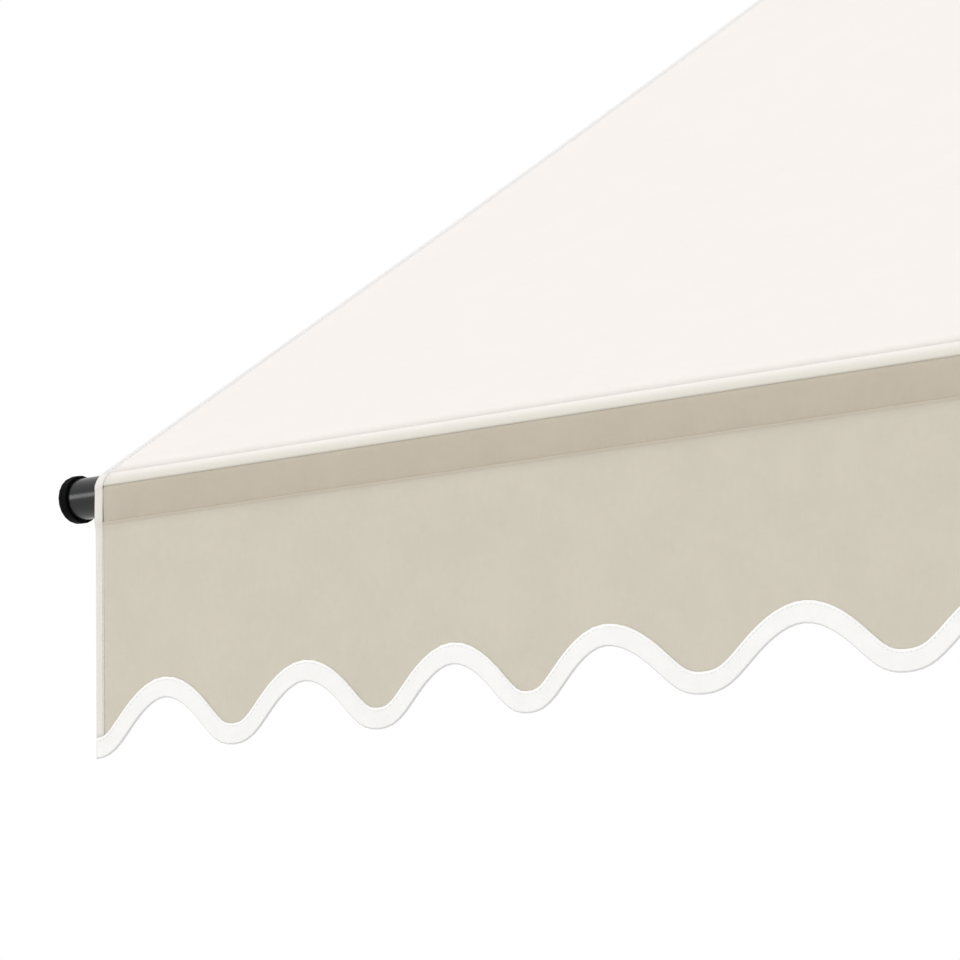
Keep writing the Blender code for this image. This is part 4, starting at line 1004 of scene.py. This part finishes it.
def arm_rivets(side, hand, part):
    """Rivets through the hollow arm into its two castings, above and below."""
    turn = math.radians(-90) + (-hand) * ARM_REST * (1 if part == "rear" else -1)
    along = ACROSS * math.cos(turn) + UP_SLOPE * math.sin(turn)
    square = OFF_CLOTH.cross(along)
    start = Vector(JOINTS["arm_fold" if side == "left" else "right_shoulder"]["pos_m"])
    centre = 0.0
    if part == "front":
        start = Vector(JOINTS[f"{side}_elbow"]["pos_m"])
        centre = -hand * ARM_OFFSET
    spots = []
    for reach in RIVET_REACHES:
        for face in (1, -1):
            place = start + along * reach + square * centre + OFF_CLOTH * (ARM_HALF * face)
            spots.append((place, OFF_CLOTH * face, along))
    return spots


def make_fasteners():
    dome = [(1, -0.3), (1, 0.12), (0.93, 0.38), (0.72, 0.58), (0.6, 0.62)]
    screw = unit_object("screw_unit", dome, 24, recess=(0.5, 0.62, 0.45))
    rivet = unit_object("rivet_unit", [(1, -0.2), (1, 0.1), (0.85, 0.34), (0.5, 0.48), (0, 0.52)], 16)
    size = Vector.Fill(3, SCREW_R)
    mesh = scatter("head_screws", head_screws(), screw, size, "zinc_plate", loose=math.pi)
    add_piece("head_screws", mesh, None, "head")
    spots = []
    for side, _ in SIDES:
        low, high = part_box(f"{side}_post_collar")
        x = (low.x + high.x) / 2
        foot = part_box(f"{side}_foot_plate")[1].z
        spots.append((Vector((x, high.y, high.z - COLLAR_SCREW_DOWN)), (0, 1, 0), (1, 0, 0)))
        spots.append((Vector((x, -FOOT_SOCKET_R, foot - FOOT_SCREW_DOWN)), (0, -1, 0), (1, 0, 0)))
    mesh = scatter("leg_screws", spots, screw, size * 0.85, "zinc_plate", loose=math.pi)
    add_piece("leg_screws", mesh, None, "legs")
    for side, hand in SIDES:
        for part in ("rear", "front"):
            name = f"{side}_{part}_rivets"
            mesh = scatter(name, arm_rivets(side, hand, part), rivet, Vector(RIVET_SIZE), "zinc_plate")
            add_piece(name, mesh, None, f"{side}_{part}")
    drop_unit(screw)
    drop_unit(rivet)


def thread_tree():
    """Nodes that wind a ridge round a spindle as its screw thread."""
    sockets = {"Turns": "Float", "Radius": "Float", "Height": "Float", "Ridge": "Float", "Foot": "Vector"}
    tree, (_, turns, radius, height, ridge, foot, material) = start_tree("WoundThread", sockets)
    sockets = {"Resolution": 24, "Rotations": turns, "Start Radius": radius, "End Radius": radius}
    spiral = tree.node("GeometryNodeCurveSpiral", None, {**sockets, "Height": height})[0]
    spiral = tree.node("GeometryNodeSetCurveNormal", {"mode": "Z_UP"}, {"Curve": spiral})[0]
    sockets = {"Resolution": 4, "Radius": ridge}
    profile = tree.node("GeometryNodeCurvePrimitiveCircle", {"mode": "RADIUS"}, sockets)[0]
    sockets = {"Curve": spiral, "Profile Curve": profile, "Fill Caps": True}
    wound = tree.node("GeometryNodeCurveToMesh", None, sockets)[0]
    placed = tree.node("GeometryNodeTransform", None, {"Geometry": wound, "Translation": foot})[0]
    return end_tree(tree, placed, material)


def make_jack_threads():
    tree = thread_tree()
    pitch, radius, ridge, height, from_foot = 0.004, 0.0075, 0.0007, 0.196, 0.006
    for side, _ in SIDES:
        low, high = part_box(f"{side}_jack_spindle")
        middle = (low + high) / 2
        foot = Vector((middle.x, middle.y, low.z + from_foot))
        inputs = {"Turns": height / pitch, "Radius": radius, "Height": height, "Ridge": ridge, "Foot": foot}
        inputs["Material"] = finish("zinc_plate")
        mesh = run_tree(bpy.data.meshes.new(f"{side}_thread"), tree, inputs, f"{side}_jack_thread")
        add_piece(f"{side}_jack_thread", mesh, None, f"{side}_jack", 30)


# Frame


FRAME_FINISHES = {
    "coated_steel": "foot_plate lower_post upper_post roller_bracket torsion_bar front_bar jack_nut",
    "coated_casting": (
        "post_clamp shoulder_bracket shoulder_eye rear_arm elbow_fork"
        " elbow_eye front_arm wrist_eye wrist_bracket"
    ),
    "moulded_plastic": "post_collar clamp_knob bar_cap idle_plug gearbox_housing gearbox_cover",
    "sole_rubber": "foot_pad ceiling_pad",
    "zinc_plate": "jack_spindle shoulder_pin elbow_pin wrist_pin roller_tube drive_plug worm_shaft",
    "machined_bronze": "worm_wheel",
    "canopy_cloth": "canopy cloth_roll bar_pocket valance",
    "wave_tape": "valance_binding",
}


def dress_frame():
    """Give every node of the frame its finish."""
    by_node = {}
    for material, names in FRAME_FINISHES.items():
        for name in names.split():
            for node in (name, f"left_{name}", f"right_{name}"):
                by_node[node] = material
    for name, node in frame["nodes"].items():
        if name not in by_node:
            raise RuntimeError(f"{name} has no finish")
        for slot in node.material_slots:
            slot.material = finish(by_node[name])


# Stage


def make_stage():
    settings = bpy.context.scene.awning_stage
    scene = bpy.context.scene
    mesh = bpy.data.meshes.new("studio_floor")
    reach = 90.0
    corners = [(reach * x, reach * y, 0) for x, y in ((-1, -1), (1, -1), (1, 1), (-1, 1))]
    mesh.from_pydata(corners, [], [(0, 1, 2, 3)])
    mesh.materials.append(floor_look(settings.floor_colour))
    add_object("studio_floor", mesh)

    world = bpy.data.worlds.new("studio")
    scene.world = world
    world.use_nodes = True
    tree = Tree(world.node_tree)
    world.node_tree.nodes.clear()
    camera_ray, _, _, glossy_ray, _, _, transmission_ray = tree.node("ShaderNodeLightPath")[:7]
    seen = tree.maths("MAXIMUM", tree.maths("MAXIMUM", camera_ray, glossy_ray), transmission_ray)
    strength = seen * (1 - settings.sky_strength) + settings.sky_strength
    sockets = {"Color": (1, 1, 1, 1), "Strength": strength}
    sky = tree.node("ShaderNodeBackground", None, sockets)[0]
    tree.node("ShaderNodeOutputWorld", None, {"Surface": sky})

    for name, place, strength, angle in (
        ("key", (-0.9, -1.9, 4.4), settings.key_strength, 30),
        ("front", (-0.7, -0.7, 0.08), settings.front_strength, 18),
    ):
        lamp = bpy.data.lights.new(name, "SUN")
        lamp.energy = strength
        lamp.angle = math.radians(angle)
        light = add_object(name, lamp)
        light.rotation_euler = (-Vector(place)).to_track_quat("-Z", "Y").to_euler()
        light.location = place

    lens = bpy.data.cameras.new("photo_camera")
    lens.sensor_width = SENSOR
    lens.lens = CAMERA_LENS
    lens.clip_end = 300.0
    camera = add_object("photo_camera", lens)
    camera.location = CAMERA_PLACE
    camera.rotation_euler = CAMERA_TURN
    scene.camera = camera
    scene.view_settings.view_transform = "Standard"


# Operators


class PieceOperator:
    """Runs its makers in turn."""

    def execute(self, context):
        for make in self.makers:
            make()
        return {"FINISHED"}


class AwningCanopy(PieceOperator, Operator):
    """Stretch the canopy from the roller to the bar, with its hems and panel seam"""

    bl_idname = "awning.canopy"
    bl_label = "Canopy"
    makers = (make_canopy,)


class AwningSleeve(PieceOperator, Operator):
    """Draw the front bar's tube, sew the sleeve round it and lay the canopy's end over it"""

    bl_idname = "awning.sleeve"
    bl_label = "Bar Sleeve"
    makers = (make_bar_tube, make_sleeve)


class AwningValance(PieceOperator, Operator):
    """Hang the valance and bind its waves and sides"""

    bl_idname = "awning.valance"
    bl_label = "Valance"
    makers = (make_valance,)


class AwningWoundCloth(PieceOperator, Operator):
    """Wind the last turns of cloth on the roller"""

    bl_idname = "awning.wound_cloth"
    bl_label = "Wound Cloth"
    makers = (make_wound_cloth,)


class AwningStitches(PieceOperator, Operator):
    """Sew the rows of stitches"""

    bl_idname = "awning.stitches"
    bl_label = "Stitches"
    makers = (make_stitches,)


class AwningFasteners(PieceOperator, Operator):
    """Set the screws and rivets"""

    bl_idname = "awning.fasteners"
    bl_label = "Screws and Rivets"
    makers = (make_fasteners,)


class AwningJackThreads(PieceOperator, Operator):
    """Cut the threads of the two screw jacks"""

    bl_idname = "awning.jack_threads"
    bl_label = "Jack Threads"
    makers = (make_jack_threads,)


class AwningFrame(PieceOperator, Operator):
    """Give each part of the frame its finish"""

    bl_idname = "awning.frame"
    bl_label = "Frame Finishes"
    makers = (dress_frame,)


class AwningStage(PieceOperator, Operator):
    """Set up the floor, the lights and the camera"""

    bl_idname = "awning.stage"
    bl_label = "Stage"
    makers = (make_stage,)


OPERATORS = (
    AwningFrame,
    AwningCanopy,
    AwningSleeve,
    AwningValance,
    AwningWoundCloth,
    AwningStitches,
    AwningFasteners,
    AwningJackThreads,
    AwningStage,
)
SETTINGS = (
    ("awning_cloth", AwningClothSettings),
    ("awning_finish", AwningFinishSettings),
    ("awning_stage", AwningStageSettings),
)


class VIEW3D_PT_awning(Panel):
    """Settings and pieces of the clamp awning"""

    bl_label = "Clamp Awning"
    bl_space_type = "VIEW_3D"
    bl_region_type = "UI"
    bl_category = "Awning"

    def draw(self, context):
        for name, group in SETTINGS:
            box = self.layout.box()
            for setting in group.__annotations__:
                box.prop(getattr(context.scene, name), setting)
        for operator in OPERATORS:
            self.layout.operator(operator.bl_idname)


def register():
    for name, group in SETTINGS:
        bpy.utils.register_class(group)
        setattr(bpy.types.Scene, name, PointerProperty(type=group))
    for item in (*OPERATORS, VIEW3D_PT_awning):
        bpy.utils.register_class(item)


def unregister():
    for item in reversed((*OPERATORS, VIEW3D_PT_awning)):
        bpy.utils.unregister_class(item)
    for name, group in reversed(SETTINGS):
        delattr(bpy.types.Scene, name)
        bpy.utils.unregister_class(group)


def main():
    """Make every piece in order."""
    register()
    for operator in OPERATORS:
        group, name = operator.bl_idname.split(".")
        getattr(getattr(bpy.ops, group), name)()


if __name__ == "__main__":
    main()
